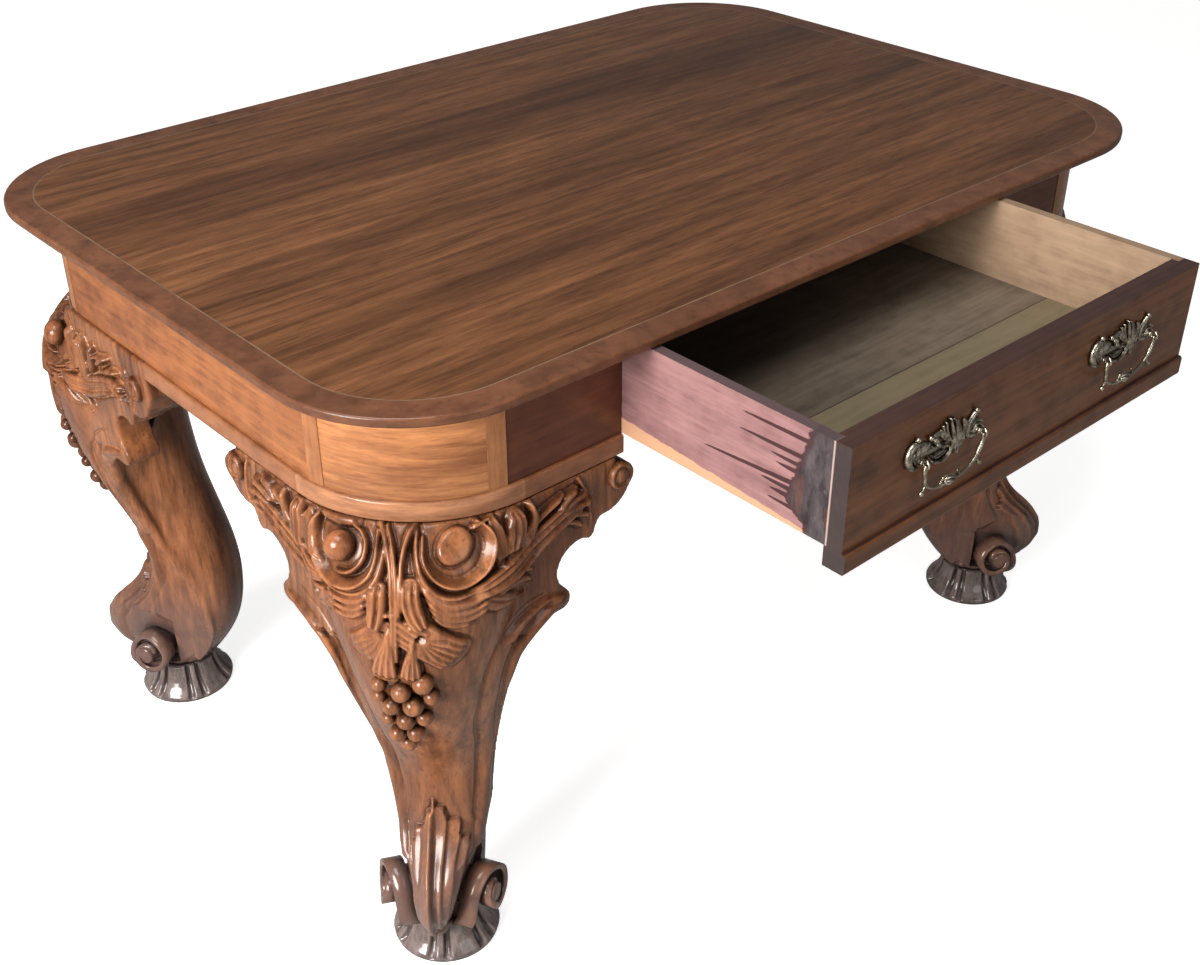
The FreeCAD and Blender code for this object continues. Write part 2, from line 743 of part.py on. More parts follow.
def make_drawer():
    side_low = apron_bottom
    side_high = top_underside - size.drawer_gap
    front_back = front_face + size.drawer_front_thickness
    rear = front_face + size.drawer_depth
    side_front = front_back - size.drawer_lap
    slack = size.joint_clearance
    floor_low = side_low + size.drawer_floor_rise
    floor_high = floor_low + size.drawer_floor_thickness
    inner_left = drawer_left + size.drawer_side_thickness
    inner_right = drawer_right - size.drawer_side_thickness
    floor_left = inner_left - size.drawer_floor_tongue
    floor_right = inner_right + size.drawer_floor_tongue
    floor_front = front_back - size.drawer_floor_tongue
    groove_z = (floor_low - slack, floor_high + slack)

    board = box("front_board", (drawer_left, drawer_right), (front_face, front_back), (side_low, side_high))
    laps = [
        box("lap_left", (drawer_left, inner_left), (side_front, front_back), (side_low, side_high)),
        box("lap_right", (inner_right, drawer_right), (side_front, front_back), (side_low, side_high)),
    ]
    groove = box("front_groove", (floor_left, floor_right), (floor_front - slack, front_back), groove_z)
    bores = [bolt_hole("bore_" + str(index), spot) for index, spot in enumerate(post_places())]
    keep(cut("drawer_front", board, *laps, groove, *bores), "drawer_front")

    for name, outer, inner in (("left", drawer_left, inner_left), ("right", drawer_right, inner_right)):
        low, high = (outer, inner) if name == "left" else (inner, outer)
        side = box("side_" + name, (low, high), (side_front, rear), (side_low, side_high))
        slot_x = (floor_left - slack, inner) if name == "left" else (inner, floor_right + slack)
        slot = box("slot_" + name, slot_x, (side_front, rear), groove_z)
        keep(cut("drawer_side_" + name, side, slot), "drawer_side_" + name)

    keep(box("back_board", (inner_left, inner_right), (rear - size.drawer_back_thickness, rear),
             (floor_high, side_high - size.drawer_back_drop)), "drawer_back")
    keep(box("floor_board", (floor_left, floor_right), (floor_front, rear), (floor_low, floor_high)),
         "drawer_bottom")

    strip = new_body("drawer_base_strip")
    sketch = new_sketch(strip, "base_strip_section", "YZ_Plane", drawer_left)
    shift = [(item[0] - size.drawer_opening,) + item[1:] for item in band_profile(-face_y, 1)]
    draw(sketch, shift)
    pad(strip, sketch, size.drawer_width)
    keep(strip, "drawer_base_strip")

    nails = []
    side_height = side_high - side_low
    for name, outer, sign in (("left", drawer_left, -1), ("right", drawer_right, 1)):
        for index, share in enumerate(NAIL_shares):
            head = doc.addObject("Part::Cylinder", "nail_" + name + str(index))
            bind(head, "Radius", size.nail_radius)
            bind(head, "Height", size.nail_proud)
            place_turned(head, outer, side_front + 3 * size.nail_radius, side_low + side_height * share,
                         FreeCAD.Rotation(FreeCAD.Vector(0, 1, 0), 90 * sign))
            nails.append(head)
    group("drawer_nails", nails)


# Pulls: pierced plates, eye bolts with nuts, and swinging bails

PULL_SPACING_share = 0.519


def pull_places():
    half = size.drawer_width * PULL_SPACING_share / 2
    return (("left", drawer_middle - half), ("right", drawer_middle + half))


def post_places():
    half = size.post_spacing / 2
    return [middle + sign * half for _, middle in pull_places() for sign in (-1, 1)]


def pull_level():
    return apron_bottom + size.pull_height


AXIS_TURNS = {
    "x": FreeCAD.Rotation(FreeCAD.Vector(0, 1, 0), 90),
    "y": FreeCAD.Rotation(FreeCAD.Vector(1, 0, 0), 90),
    "z": FreeCAD.Rotation(),
}


def rod(name, x, y, z, radius, length, axis):
    # A round bar that runs from its start towards +X, -Y or +Z
    bar = doc.addObject("Part::Cylinder", name)
    bind(bar, "Radius", radius)
    bind(bar, "Height", length)
    place_turned(bar, x, y, z, AXIS_TURNS[axis])
    return bar


def bolt_hole(name, x):
    start = front_face + size.drawer_front_thickness + size.nut_height
    reach = size.drawer_front_thickness + 2 * size.nut_height
    return rod(name, x, start, pull_level(), size.post_radius + size.joint_clearance, reach, "y")


# Corners of the plate's right half, from its lower edge up to the crest
# Share of the half length, share of the rise or fall, then share of the rise for an arc and its turn

PLATE_shares = (
    (0.30, -0.40, 0, 0),
    (0.66, -1.00, 0.60, -1),
    (0.94, -0.60, 0.40, 1),
    (1.00, 0.30, 0.45, 1),
    (0.80, 0.62, 0.40, 1),
    (0.52, 0.48, 0.50, -1),
    (0.34, 0.72, 0.50, 1),
    (0.16, 0.72, 0.20, -1),
)
BAIL_CROWN_share = 1.05
PLATE_HOLE_shares = ((0.36, 0.30, 0.14), (0.0, 0.40, 0.16), (0.68, 0.24, 0.12))


def plate_outline(middle, level):
    half = size.plate_length / 2
    rise = size.plate_rise
    points = []
    arcs = []
    for share_x, share_z, share_r, turn in PLATE_shares:
        reach = size.plate_fall if share_z < 0 else rise
        points.append((half * share_x, level + reach * share_z))
        arcs.append((rise * share_r, turn))
    path = [(middle + points[0][0], points[0][1])]
    for point, arc in zip(points[1:], arcs[1:]):
        path.append((middle + point[0], point[1]) + arc)
    path.append((middle, level + rise))
    path.append((middle - points[-1][0], points[-1][1]))
    for point, arc in zip(points[-2::-1], arcs[:0:-1]):
        path.append((middle - point[0], point[1]) + arc)
    return path


def make_pulls():
    level = pull_level()
    half = size.plate_length / 2
    rise = size.plate_rise
    for name, middle in pull_places():
        body = new_body("pull_plate_" + name)
        sketch = new_sketch(body, "plate_" + name, "XZ_Plane", -front_face)
        draw(sketch, plate_outline(middle, level))
        for share_x, share_z, share_r in PLATE_HOLE_shares:
            for sign in ((1, -1) if share_x else (1,)):
                circle(sketch, middle + sign * half * share_x, level + rise * share_z, rise * share_r)
        for sign in (-1, 1):
            circle(sketch, middle + sign * size.post_spacing / 2, level,
                   size.post_radius + size.joint_clearance)
        pad(body, sketch, size.plate_thickness)
        keep(body, "pull_plate_" + name)

    bolts = []
    eye_y = front_face - size.post_reach
    bolt_end = front_face + size.drawer_front_thickness
    for index, x in enumerate(post_places()):
        shank = rod("shank_" + str(index), x, bolt_end, level, size.post_radius,
                    size.drawer_front_thickness + size.post_reach - size.eye_ring_radius, "y")
        ring = doc.addObject("Part::Torus", "eye_" + str(index))
        bind(ring, "Radius1", size.eye_ring_radius)
        bind(ring, "Radius2", size.eye_wire_radius)
        place_turned(ring, x, eye_y, level, AXIS_TURNS["x"])
        nut = rod("nut_" + str(index), x, bolt_end + size.nut_height, level,
                  size.nut_radius, size.nut_height, "y")
        bolt = doc.addObject("Part::MultiFuse", "eye_bolt_" + str(index))
        bolt.Shapes = [shank, ring, nut]
        bolts.append(bolt)
    group("pull_posts", bolts)

    for name, middle in pull_places():
        keep(make_bail(name, middle, eye_y, level), "bail_" + name)


def make_bail(name, middle, eye_y, level):
    # One swinging handle: a looped bar with rounded corners, and a headed pin through each eye
    thick = size.bail_radius
    low = level - size.bail_drop
    inner = size.bail_arm_spacing / 2 - thick
    outer = size.bail_arm_spacing / 2 + thick
    bend = size.bail_bend_radius
    wide_bend = bend + 2 * thick
    crown = thick * BAIL_CROWN_share
    body = new_body("bail_" + name)
    sketch = new_sketch(body, "bail_" + name + "_outline", "XZ_Plane", -eye_y)
    draw(sketch, [
        (middle - outer, level), (middle - inner, level, crown, -1),
        (middle - inner, low + thick + bend), (middle - inner + bend, low + thick, bend, 1),
        (middle + inner - bend, low + thick), (middle + inner, low + thick + bend, bend, 1),
        (middle + inner, level), (middle + outer, level, crown, -1),
        (middle + outer, low - thick + wide_bend), (middle + outer - wide_bend, low - thick, wide_bend, -1),
        (middle - outer + wide_bend, low - thick), (middle - outer, low - thick + wide_bend, wide_bend, -1),
    ])
    pad(body, sketch, 2 * thick, both=True)
    pin_end = size.post_spacing / 2 + size.bail_pin_overrun
    head = size.bail_head_length
    members = [body]
    for side, sign in (("a", -1), ("b", 1)):
        reach = pin_end - inner
        tip = middle + sign * pin_end
        start = tip if sign < 0 else tip - reach
        head_start = tip if sign < 0 else tip - head
        members.append(rod("bail_pin_" + name + side, start, eye_y, level, size.bail_pin_radius, reach, "x"))
        members.append(rod("bail_head_" + name + side, head_start, eye_y, level,
                           size.bail_head_radius, head, "x"))
    handle = doc.addObject("Part::MultiFuse", "bail_" + name + "_whole")
    handle.Shapes = members
    return handle


make_top()
make_apron()
make_bands()
legs = make_legs()
make_feet()
make_wings(legs)
make_inside()
make_drawer()
make_pulls()
doc.recompute()

# Every object has to be sound before anything is written

faults = [thing.Name for thing in doc.Objects if "Invalid" in thing.State or "Error" in thing.State]
for thing in nodes:
    if thing.Shape.isNull() or not thing.Shape.isValid() or not thing.Shape.Solids:
        faults.append(thing.Label)
if faults:
    raise RuntimeError("not sound: " + ", ".join(faults))

os.makedirs("parts", exist_ok=True)
for thing in nodes:
    thing.Shape.exportStep(os.path.join("parts", thing.Label + ".step"))
print(len(nodes), "nodes written")
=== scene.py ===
import math
import bmesh
import bpy
import numpy as np
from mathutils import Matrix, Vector
from mathutils.bvhtree import BVHTree


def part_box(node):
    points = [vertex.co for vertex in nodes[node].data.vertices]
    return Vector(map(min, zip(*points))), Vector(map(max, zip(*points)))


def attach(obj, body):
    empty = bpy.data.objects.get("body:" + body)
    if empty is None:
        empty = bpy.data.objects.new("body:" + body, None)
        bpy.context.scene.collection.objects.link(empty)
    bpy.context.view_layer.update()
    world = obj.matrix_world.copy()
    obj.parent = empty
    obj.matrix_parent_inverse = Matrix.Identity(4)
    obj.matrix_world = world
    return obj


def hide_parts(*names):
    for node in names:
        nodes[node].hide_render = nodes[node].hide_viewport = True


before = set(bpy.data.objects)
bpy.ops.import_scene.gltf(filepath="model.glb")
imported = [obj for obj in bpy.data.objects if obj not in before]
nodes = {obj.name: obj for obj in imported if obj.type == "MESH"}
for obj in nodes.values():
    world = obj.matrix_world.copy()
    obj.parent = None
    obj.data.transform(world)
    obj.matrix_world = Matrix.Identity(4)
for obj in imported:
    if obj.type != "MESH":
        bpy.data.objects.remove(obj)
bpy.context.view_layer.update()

# writing desk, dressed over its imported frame: lengths are in metres, and in the tables of the legs, pads
# and handles in millimetres
mm = 0.001


# node helpers

class Wire:
    # short ways to add nodes to one tree

    def __init__(self, tree):
        self.tree = tree

    def fill(self, node, inputs):
        # a socket is linked to the node, and anything else is set on it
        for key, value in inputs.items():
            if isinstance(value, bpy.types.NodeSocket):
                self.tree.links.new(value, node.inputs[key])
            else:
                node.inputs[key].default_value = value
        return node

    def put(self, kind, inputs=None, **settings):
        node = self.tree.nodes.new(kind)
        for key, value in settings.items():
            setattr(node, key, value)
        return self.fill(node, inputs or {})

    def maths(self, how, first, second=0.0):
        return self.put("ShaderNodeMath", {0: first, 1: second}, operation=how).outputs[0]

    def plus(self, first, second):
        return self.maths("ADD", first, second)

    def minus(self, first, second):
        return self.maths("SUBTRACT", first, second)

    def times(self, first, second):
        return self.maths("MULTIPLY", first, second)

    def most(self, first, second):
        return self.maths("MAXIMUM", first, second)

    def vector(self, how, first, second=(0, 0, 0)):
        return self.put("ShaderNodeVectorMath", {0: first, 1: second}, operation=how).outputs

    def parts(self, place):
        return self.put("ShaderNodeSeparateXYZ", {0: place}).outputs

    def blend(self, amount, first, second):
        node = self.put("ShaderNodeMix", {0: amount, 6: first, 7: second}, data_type="RGBA")
        return node.outputs[2]

    def span(self, value, low, high, first=0.0, second=1.0):
        node = self.put("ShaderNodeMapRange", {0: value, 1: low, 2: high, 3: first, 4: second})
        return node.outputs[0]

    def noise(self, place, scale, detail=4.0, rough=0.55, distort=0.0):
        node = self.put("ShaderNodeTexNoise", {"Vector": place, "Scale": scale, "Detail": detail,
                                               "Roughness": rough, "Distortion": distort})
        return node.outputs[0]


def newObject(name, data):
    thing = bpy.data.objects.new(name, data)
    bpy.context.scene.collection.objects.link(thing)
    return thing


def newMaterial(name):
    mat = bpy.data.materials.new(name)
    mat.use_nodes = True
    return mat, Wire(mat.node_tree), mat.node_tree.nodes["Principled BSDF"]


def newGroup(name, inputs, outputs):
    group = bpy.data.node_groups.new(name, "ShaderNodeTree")
    kinds = {"c": "NodeSocketColor", "f": "NodeSocketFloat", "v": "NodeSocketVector"}
    for label, kind, value in inputs:
        socket = group.interface.new_socket(name=label, in_out="INPUT", socket_type=kinds[kind])
        if kind != "v":
            socket.default_value = (*value, 1) if kind == "c" else value
    for label, kind in outputs:
        group.interface.new_socket(name=label, in_out="OUTPUT", socket_type=kinds[kind])
    return Wire(group), group.nodes.new("NodeGroupInput").outputs, group.nodes.new("NodeGroupOutput")


# camera and light

view = {"place": (-1.2239, -1.3690, 1.4298), "azimuth": -42.088, "elevation": 32.468, "lens": 45.545,
        "sensor": 36.0, "far": 60}
studio = {
    "window": {"from": (-2.6, -0.62, 1.30), "size": 1.2, "power": 88, "colour": (1.0, 0.965, 0.92)},
    "ceiling": {"from": (-1.2, -0.5, 2.8), "size": 1.5, "power": 42, "colour": (1.0, 0.98, 0.96)},
    "front": {"from": (-0.4, -3.4, 1.2), "size": 1.6, "power": 12, "colour": (0.97, 0.98, 1.0)},
}
lampAim = (0, 0, 0.45)
ambient = {"colour": (1.0, 0.99, 0.98), "strength": 0.14, "gloss": 0.025}
floorLook = {"size": 40, "colour": (0.36, 0.345, 0.33), "white": (0.95, 0.95, 0.945), "glow": 0.80,
             "gloss": 0.08, "rough": 0.9, "specular": 0.1}


def makeCamera():
    data = bpy.data.cameras.new("photoCamera")
    data.lens = view["lens"]
    data.sensor_width = view["sensor"]
    data.sensor_fit = "HORIZONTAL"
    data.clip_end = view["far"]
    camera = newObject("photoCamera", data)
    camera.location = view["place"]
    camera.rotation_euler = (math.radians(90 - view["elevation"]), 0, math.radians(view["azimuth"]))
    bpy.context.scene.camera = camera


def makeLight(name, row):
    data = bpy.data.lights.new(name, "AREA")
    data.shape = "DISK"
    data.size = row["size"]
    data.energy = row["power"]
    data.color = row["colour"]
    lamp = newObject(name, data)
    lamp.location = row["from"]
    aim = Vector(lampAim) - Vector(row["from"])
    lamp.rotation_euler = aim.to_track_quat("-Z", "Y").to_euler()


def paleRays(w, gloss):
    # 1 for camera and transmission rays, and a share of it for glossy rays, so the polish sees the studio
    rays = w.put("ShaderNodeLightPath").outputs
    seen = w.most(rays["Is Camera Ray"], rays["Is Transmission Ray"])
    return w.most(seen, w.times(rays["Is Glossy Ray"], gloss))


def makeWorld():
    world = bpy.data.worlds.new("studioWorld")
    bpy.context.scene.world = world
    world.use_nodes = True
    world.node_tree.nodes.clear()
    w = Wire(world.node_tree)
    soft = w.put("ShaderNodeBackground", {"Color": (*ambient["colour"], 1), "Strength": ambient["strength"]})
    pale = w.put("ShaderNodeBackground", {"Color": (1, 1, 1, 1)})
    mix = w.put("ShaderNodeMixShader", {"Fac": paleRays(w, ambient["gloss"]), 1: soft.outputs[0],
                                        2: pale.outputs[0]})
    w.put("ShaderNodeOutputWorld", {"Surface": mix.outputs[0]})


def makeFloor():
    mat, w, shader = newMaterial("paleFloor")
    seen = paleRays(w, floorLook["gloss"])
    w.fill(shader, {
        "Roughness": floorLook["rough"], "Specular IOR Level": floorLook["specular"],
        "Base Color": w.blend(seen, (*floorLook["colour"], 1), (*floorLook["white"], 1)),
        "Emission Color": (1, 1, 1, 1), "Emission Strength": w.times(seen, floorLook["glow"]),
    })
    half = floorLook["size"] / 2
    mesh = bpy.data.meshes.new("floor")
    places = [(x * half, y * half, 0) for x, y in ((-1, -1), (1, -1), (1, 1), (-1, 1))]
    mesh.from_pydata(places, [], [(0, 1, 2, 3)])
    mesh.materials.append(mat)
    floor = newObject("floor", mesh)


# wood: shader groups, finishes and the material

# each noise of the wood: its scale, detail, roughness and distortion
noises = {"sway": (2.7, 3.0, 0.5), "ripple": (13.0, 4.0, 0.62), "zone": (3.4, 2.0, 0.5),
          "cloud": (3.3, 5.0, 0.62, 0.5), "band": (8.5, 3.0, 0.55, 0.35), "fibre": (85.0, 6.0, 0.72),
          "hair": (34.0, 5.0, 0.66, 0.25), "pore": (300.0, 1.0, 0.5), "patch": (38.0, 3.0),
          "dust": (9.0, 5.0, 0.7)}


def makeGrainGroup():
    # figured wood: growth rings cut by the surface, cloudy tone, dark streaks, long fibres and short pores
    w, put, end = newGroup("woodFigure", [
        ("Place", "v", None), ("Light", "c", (0.4, 0.2, 0.1)), ("Mid", "c", (0.25, 0.12, 0.06)),
        ("Dark", "c", (0.08, 0.04, 0.02)), ("Ring Pitch", "f", 0.012), ("Ring Sway", "f", 0.02),
        ("Figure", "f", 0.5), ("Streak", "f", 0.5), ("Cloud", "f", 0.5), ("Pores", "f", 0.5),
        ("Grain Run", "v", None),
    ], [("Color", "c"), ("Tone", "f"), ("Height", "f")])
    long = w.vector("MULTIPLY", put["Place"], put["Grain Run"])[0]
    sway = w.minus(w.noise(long, *noises["sway"]), 0.5)
    sway = w.times(sway, put["Ring Sway"])
    ripple = w.minus(w.noise(long, *noises["ripple"]), 0.5)
    ripple = w.times(ripple, w.times(put["Ring Sway"], 0.30))
    across = w.vector("LENGTH", long)["Value"]
    ring = w.plus(w.plus(across, sway), ripple)
    phase = w.maths("FRACT", w.maths("DIVIDE", ring, put["Ring Pitch"]))
    late = w.times(w.maths("POWER", phase, 2.2), w.span(phase, 0.86, 1.0, 1.0, 0.0))
    zone = w.span(w.noise(long, *noises["zone"]), 0.40, 0.64, 0.18, 1.0)
    late = w.times(w.times(late, zone), put["Figure"])
    cloud = w.noise(long, *noises["cloud"])
    cloud = w.times(w.span(cloud, 0.34, 0.66), put["Cloud"])
    band = w.noise(long, *noises["band"])
    band = w.times(w.span(band, 0.50, 0.72), put["Streak"])
    fibre = w.noise(long, *noises["fibre"])
    hair = w.span(w.noise(long, *noises["hair"]), 0.47, 0.72)
    tone = w.blend(cloud, put["Mid"], put["Light"])
    tone = w.blend(w.times(band, 0.72), tone, put["Dark"])
    tone = w.blend(late, tone, put["Dark"])
    tone = w.blend(w.times(hair, w.times(put["Streak"], 0.80)), tone, put["Dark"])
    tone = w.blend(w.span(fibre, 0.36, 0.64, 0.0, 0.60), tone, put["Dark"])
    pore = w.span(w.noise(long, *noises["pore"]), 0.60, 0.68)
    pore = w.times(pore, put["Pores"])
    tone = w.blend(w.times(pore, 0.8), tone, put["Dark"])
    height = w.minus(w.times(fibre, 0.35), w.times(pore, 0.8))
    w.fill(end, {"Color": tone, "Tone": w.plus(late, w.times(fibre, 0.5)),
                 "Height": w.minus(height, w.times(late, 0.2))})
    return w.tree


def makeShadeAndWearGroup():
    # masks: painted shade in hollows, found by ambient occlusion, and of age: rubbed edges and patches of
    # dust
    w, put, end = newGroup("shadeAndAgeMasks", [("Reach", "f", 0.02), ("Place", "v", None)],
                           [("Hollow Shade", "f"), ("Rub", "f"), ("Dust", "f")])
    shade = w.put("ShaderNodeAmbientOcclusion", {"Distance": put["Reach"]}, samples=4)
    # painted shade: ambient occlusion marks the hollows, which the woods darken in their colour
    hollowShade = w.span(shade.outputs["AO"], 0.34, 0.92, 1.0, 0.0)
    sharp = w.span(w.put("ShaderNodeNewGeometry").outputs["Pointiness"], 0.505, 0.56)
    patch = w.noise(put["Place"], *noises["patch"])
    w.fill(end, {"Hollow Shade": w.times(hollowShade, w.span(patch, 0.2, 0.5, 0.75, 1.0)),
                 "Rub": w.times(sharp, w.span(patch, 0.35, 0.6)),
                 "Dust": w.span(w.noise(put["Place"], *noises["dust"]), 0.4, 0.7)})
    return w.tree


grain = makeGrainGroup()
shadeAndAge = makeShadeAndWearGroup()

# run is how the place is stretched before the rings are cut, so 0.1 along X is grain along X
# a finish that gives no value for something has the plain one
# a wood's hollow amount is how far painted shade darkens its hollows
plainWood = {"streak": 0.5, "cloud": 0.9, "pores": 0.3, "rough": (0.24, 0.4), "coat": 0.0, "bump": 0.12,
             "gloss": 0.36, "reach": 0.03, "hollowShade": 0.35, "rub": 0.28}
woods = {
    "topWalnut": {
        "light": (0.35, 0.146, 0.058), "mid": (0.146, 0.056, 0.024), "dark": (0.028, 0.01, 0.005),
        "run": (0.085, 1.0, 1.0), "shift": (0.35, 0.62, 0.06), "pitch": 0.016, "sway": 0.2, "figure": 0.55,
        "streak": 0.58, "cloud": 1.0, "pores": 0.45, "rough": (0.22, 0.36), "coat": 0.06, "bump": 0.08,
        "gloss": 0.22, "rub": 0.0,
    },
    "borderWalnut": {
        "light": (0.27, 0.11, 0.052), "mid": (0.16, 0.06, 0.029), "dark": (0.045, 0.017, 0.009),
        "run": (0.35, 0.35, 1.0), "shift": (0.1, 0.4, 0.06), "pitch": 0.009, "sway": 0.05, "figure": 0.45,
        "cloud": 0.8, "pores": 0.45, "rough": (0.26, 0.42), "coat": 0.12, "bump": 0.1,
    },
    "stringing": {
        "light": (0.34, 0.22, 0.135), "mid": (0.25, 0.15, 0.09), "dark": (0.1, 0.05, 0.03),
        "run": (0.3, 0.3, 1.0), "shift": (0, 0, 0), "pitch": 0.004, "sway": 0.02, "figure": 0.3,
        "streak": 0.4, "cloud": 0.5, "pores": 0.2, "rough": (0.3, 0.4), "coat": 0.2, "bump": 0.05,
    },
    "apronWalnut": {
        "light": (0.56, 0.212, 0.07), "mid": (0.31, 0.094, 0.031), "dark": (0.07, 0.019, 0.008),
        "run": (0.12, 0.12, 1.0), "shift": (0.1, 0.2, -0.55), "pitch": 0.0125, "sway": 0.11, "figure": 0.75,
        "cloud": 0.95, "coat": 0.14, "bump": 0.1,
    },
    # a lighter copy of the apron walnut with its own figure: its light colours paint in the light falling on
    # the corner panels
    "cornerWalnutPaintedLight": {
        "light": (0.86, 0.39, 0.15), "mid": (0.56, 0.215, 0.078), "dark": (0.13, 0.036, 0.014),
        "run": (0.13, 0.13, 1.0), "shift": (0.43, 0.405, -0.694), "pitch": 0.011, "sway": 0.055,
        "figure": 0.62, "cloud": 1.0, "rough": (0.16, 0.28), "coat": 0.3, "bump": 0.1, "rub": 0.0,
    },
    # a darker copy of the apron walnut: painted shade on the front apron, which faces away from the window
    # light
    "frontWalnutPaintedShade": {
        "light": (0.2, 0.058, 0.022), "mid": (0.118, 0.03, 0.012), "dark": (0.032, 0.008, 0.004),
        "run": (0.1, 0.12, 1.0), "shift": (0.3, 0.2, -0.6), "pitch": 0.012, "sway": 0.09, "figure": 0.5,
        "cloud": 0.8, "rough": (0.26, 0.42), "coat": 0.12, "bump": 0.1,
    },
    "bandWalnut": {
        "light": (0.5, 0.215, 0.098), "mid": (0.31, 0.118, 0.053), "dark": (0.085, 0.029, 0.015),
        "run": (0.14, 0.14, 1.0), "shift": (0.2, 0.1, -0.6), "pitch": 0.008, "sway": 0.06, "figure": 0.45,
        "coat": 0.14,
    },
    # a lighter copy of the band walnut: painted light on the corner bands
    "cornerBandPaintedLight": {
        "light": (0.74, 0.36, 0.18), "mid": (0.48, 0.205, 0.098), "dark": (0.12, 0.042, 0.02),
        "run": (0.14, 0.14, 1.0), "shift": (0.2, 0.1, -0.6), "pitch": 0.008, "sway": 0.06, "figure": 0.45,
        "rough": (0.2, 0.36), "coat": 0.2,
    },
    "stileWalnut": {
        "light": (0.6, 0.27, 0.105), "mid": (0.36, 0.135, 0.055), "dark": (0.1, 0.034, 0.016),
        "run": (1.0, 1.0, 0.1), "shift": (0.2, 0.1, 0.2), "pitch": 0.006, "sway": 0.05, "figure": 0.45,
        "coat": 0.14,
    },
    "carvedWalnut": {
        "light": (0.64, 0.262, 0.112), "mid": (0.285, 0.098, 0.039), "dark": (0.046, 0.014, 0.007),
        "run": (1.0, 1.0, 0.13), "shift": (0.055, 0.075, 0.1), "pitch": 0.0125, "sway": 0.1, "figure": 1.0,
        "streak": 0.8, "cloud": 1.0, "pores": 0.4, "rough": (0.2, 0.34), "coat": 0.26, "gloss": 0.3,
        "bump": 0.14, "hollowShade": 1.0, "reach": 0.024, "rub": 0.5, "foot": (0.13, 0.094, 0.09),
        "footCoat": 0.9,
    },
    "padWalnut": {
        "light": (0.42, 0.34, 0.32), "mid": (0.26, 0.2, 0.188), "dark": (0.03, 0.021, 0.019),
        "run": (1.0, 1.0, 0.2), "shift": (0.03, 0.05, 0), "pitch": 0.008, "sway": 0.03, "figure": 0.4,
        "cloud": 0.7, "rough": (0.1, 0.2), "coat": 0.6, "bump": 0.08, "hollowShade": 1.0, "reach": 0.018,
    },
    "drawerWalnut": {
        "light": (0.34, 0.125, 0.042), "mid": (0.165, 0.053, 0.018), "dark": (0.03, 0.009, 0.004),
        "run": (0.06, 1.0, 1.0), "shift": (0.2, 0.3, -0.5), "pitch": 0.01, "sway": 0.1, "figure": 0.6,
        "streak": 0.7, "pores": 0.4, "rough": (0.26, 0.42), "coat": 0.12, "bump": 0.1,
        "faces": [((0, 0, 1), (0.045, 0.026, 0.028), 0.85), ((-1, 0, 0), (0.036, 0.031, 0.035), 0.95)],
    },
    "mauveSide": {
        "light": (0.43, 0.235, 0.232), "mid": (0.32, 0.165, 0.168), "dark": (0.13, 0.06, 0.062),
        "run": (1.0, 0.09, 1.0), "shift": (0.1, 0.3, -0.5), "pitch": 0.014, "sway": 0.07, "figure": 0.5,
        "rough": (0.42, 0.6), "drips": True,
        # the top edge gets a darker tint, and the inside face, looking along +X, is painted dark as shade
        "faces": [((0, 0, 1), (0.085, 0.062, 0.066), 0.9), ((1, 0, 0), (0.05, 0.028, 0.018), 0.9)],
    },
    "floorBoards": {
        "light": (0.3, 0.24, 0.175), "mid": (0.2, 0.155, 0.115), "dark": (0.085, 0.062, 0.045),
        "run": (0.09, 1.0, 1.0), "shift": (0.1, 0.3, -0.5), "pitch": 0.016, "sway": 0.08, "figure": 0.4,
        "rough": (0.5, 0.7), "joint": -0.513,
    },
    "drawerLining": {
        "light": (0.52, 0.36, 0.235), "mid": (0.38, 0.245, 0.16), "dark": (0.2, 0.125, 0.08),
        "run": (1.0, 0.1, 1.0), "shift": (0.1, 0.2, 0.3), "pitch": 0.016, "sway": 0.05, "figure": 0.3,
        "streak": 0.3, "cloud": 0.8, "pores": 0.2, "rough": (0.55, 0.7),
    },
    "innerWood": {
        "light": (0.36, 0.24, 0.14), "mid": (0.26, 0.165, 0.095), "dark": (0.11, 0.068, 0.038),
        "run": (0.1, 1.0, 1.0), "shift": (0.1, 0.2, 0.3), "pitch": 0.014, "sway": 0.06, "figure": 0.4,
        "streak": 0.4, "cloud": 0.7, "rough": (0.6, 0.75), "bump": 0.2,
    },
}

# polish that ran back along the drawer's left side: height, length, half height and fall
drips = [(0.7335, 0.080, 0.0026, 0.02), (0.7145, 0.076, 0.0028, 0.02), (0.7045, 0.034, 0.0024, 0.0),
         (0.6965, 0.022, 0.0026, 0.0), (0.6825, 0.108, 0.0029, 0.07), (0.6745, 0.034, 0.0027, 0.02),
         (0.6665, 0.020, 0.0028, 0.0), (0.6560, 0.026, 0.0024, 0.0)]
sideStain = {
    "strip": (0.64, 0.36, 0.21, 1), "wet": (0.036, 0.012, 0.015, 1), "grey": (0.022, 0.016, 0.018, 1),
    "paleGrey": (0.095, 0.078, 0.086, 1), "rust": (0.13, 0.050, 0.034, 1), "rim": (0.50, 0.36, 0.33, 1),
    "stripEdge": (0.6518, 0.6530), "stripFall": -0.056, "stripPivot": 0.41,
    "upperEdge": (0.745, 0.668, -0.6345, -0.6095), "lowerEdge": (0.660, 0.645, 0.0, -0.022),
    "rimBack": (-0.6604, -0.6598, 1.0, 0.0), "rimFront": (-0.6624, -0.6618),
    "wobble": (75.0, 4.0, 0.65), "wobbleReach": 0.016, "smear": (1.0, 3.0, 1.0),
    "patch": (30.0, 6.0, 0.7), "patchEdge": (0.38, 0.66), "spots": (17.0, 3.0), "spotsEdge": (0.57, 0.70),
    "wetEdge": (-0.001, 0.001, 1.0, 0.0), "dripEdge": (-0.0004, 0.0002, 1.0, 0.0), "dripPoint": 0.4,
    "greyEdge": (-0.010, -0.001, 1.0, 0.0), "stripAmount": 0.85, "wetAmount": 0.92, "rimAmount": 0.8,
}


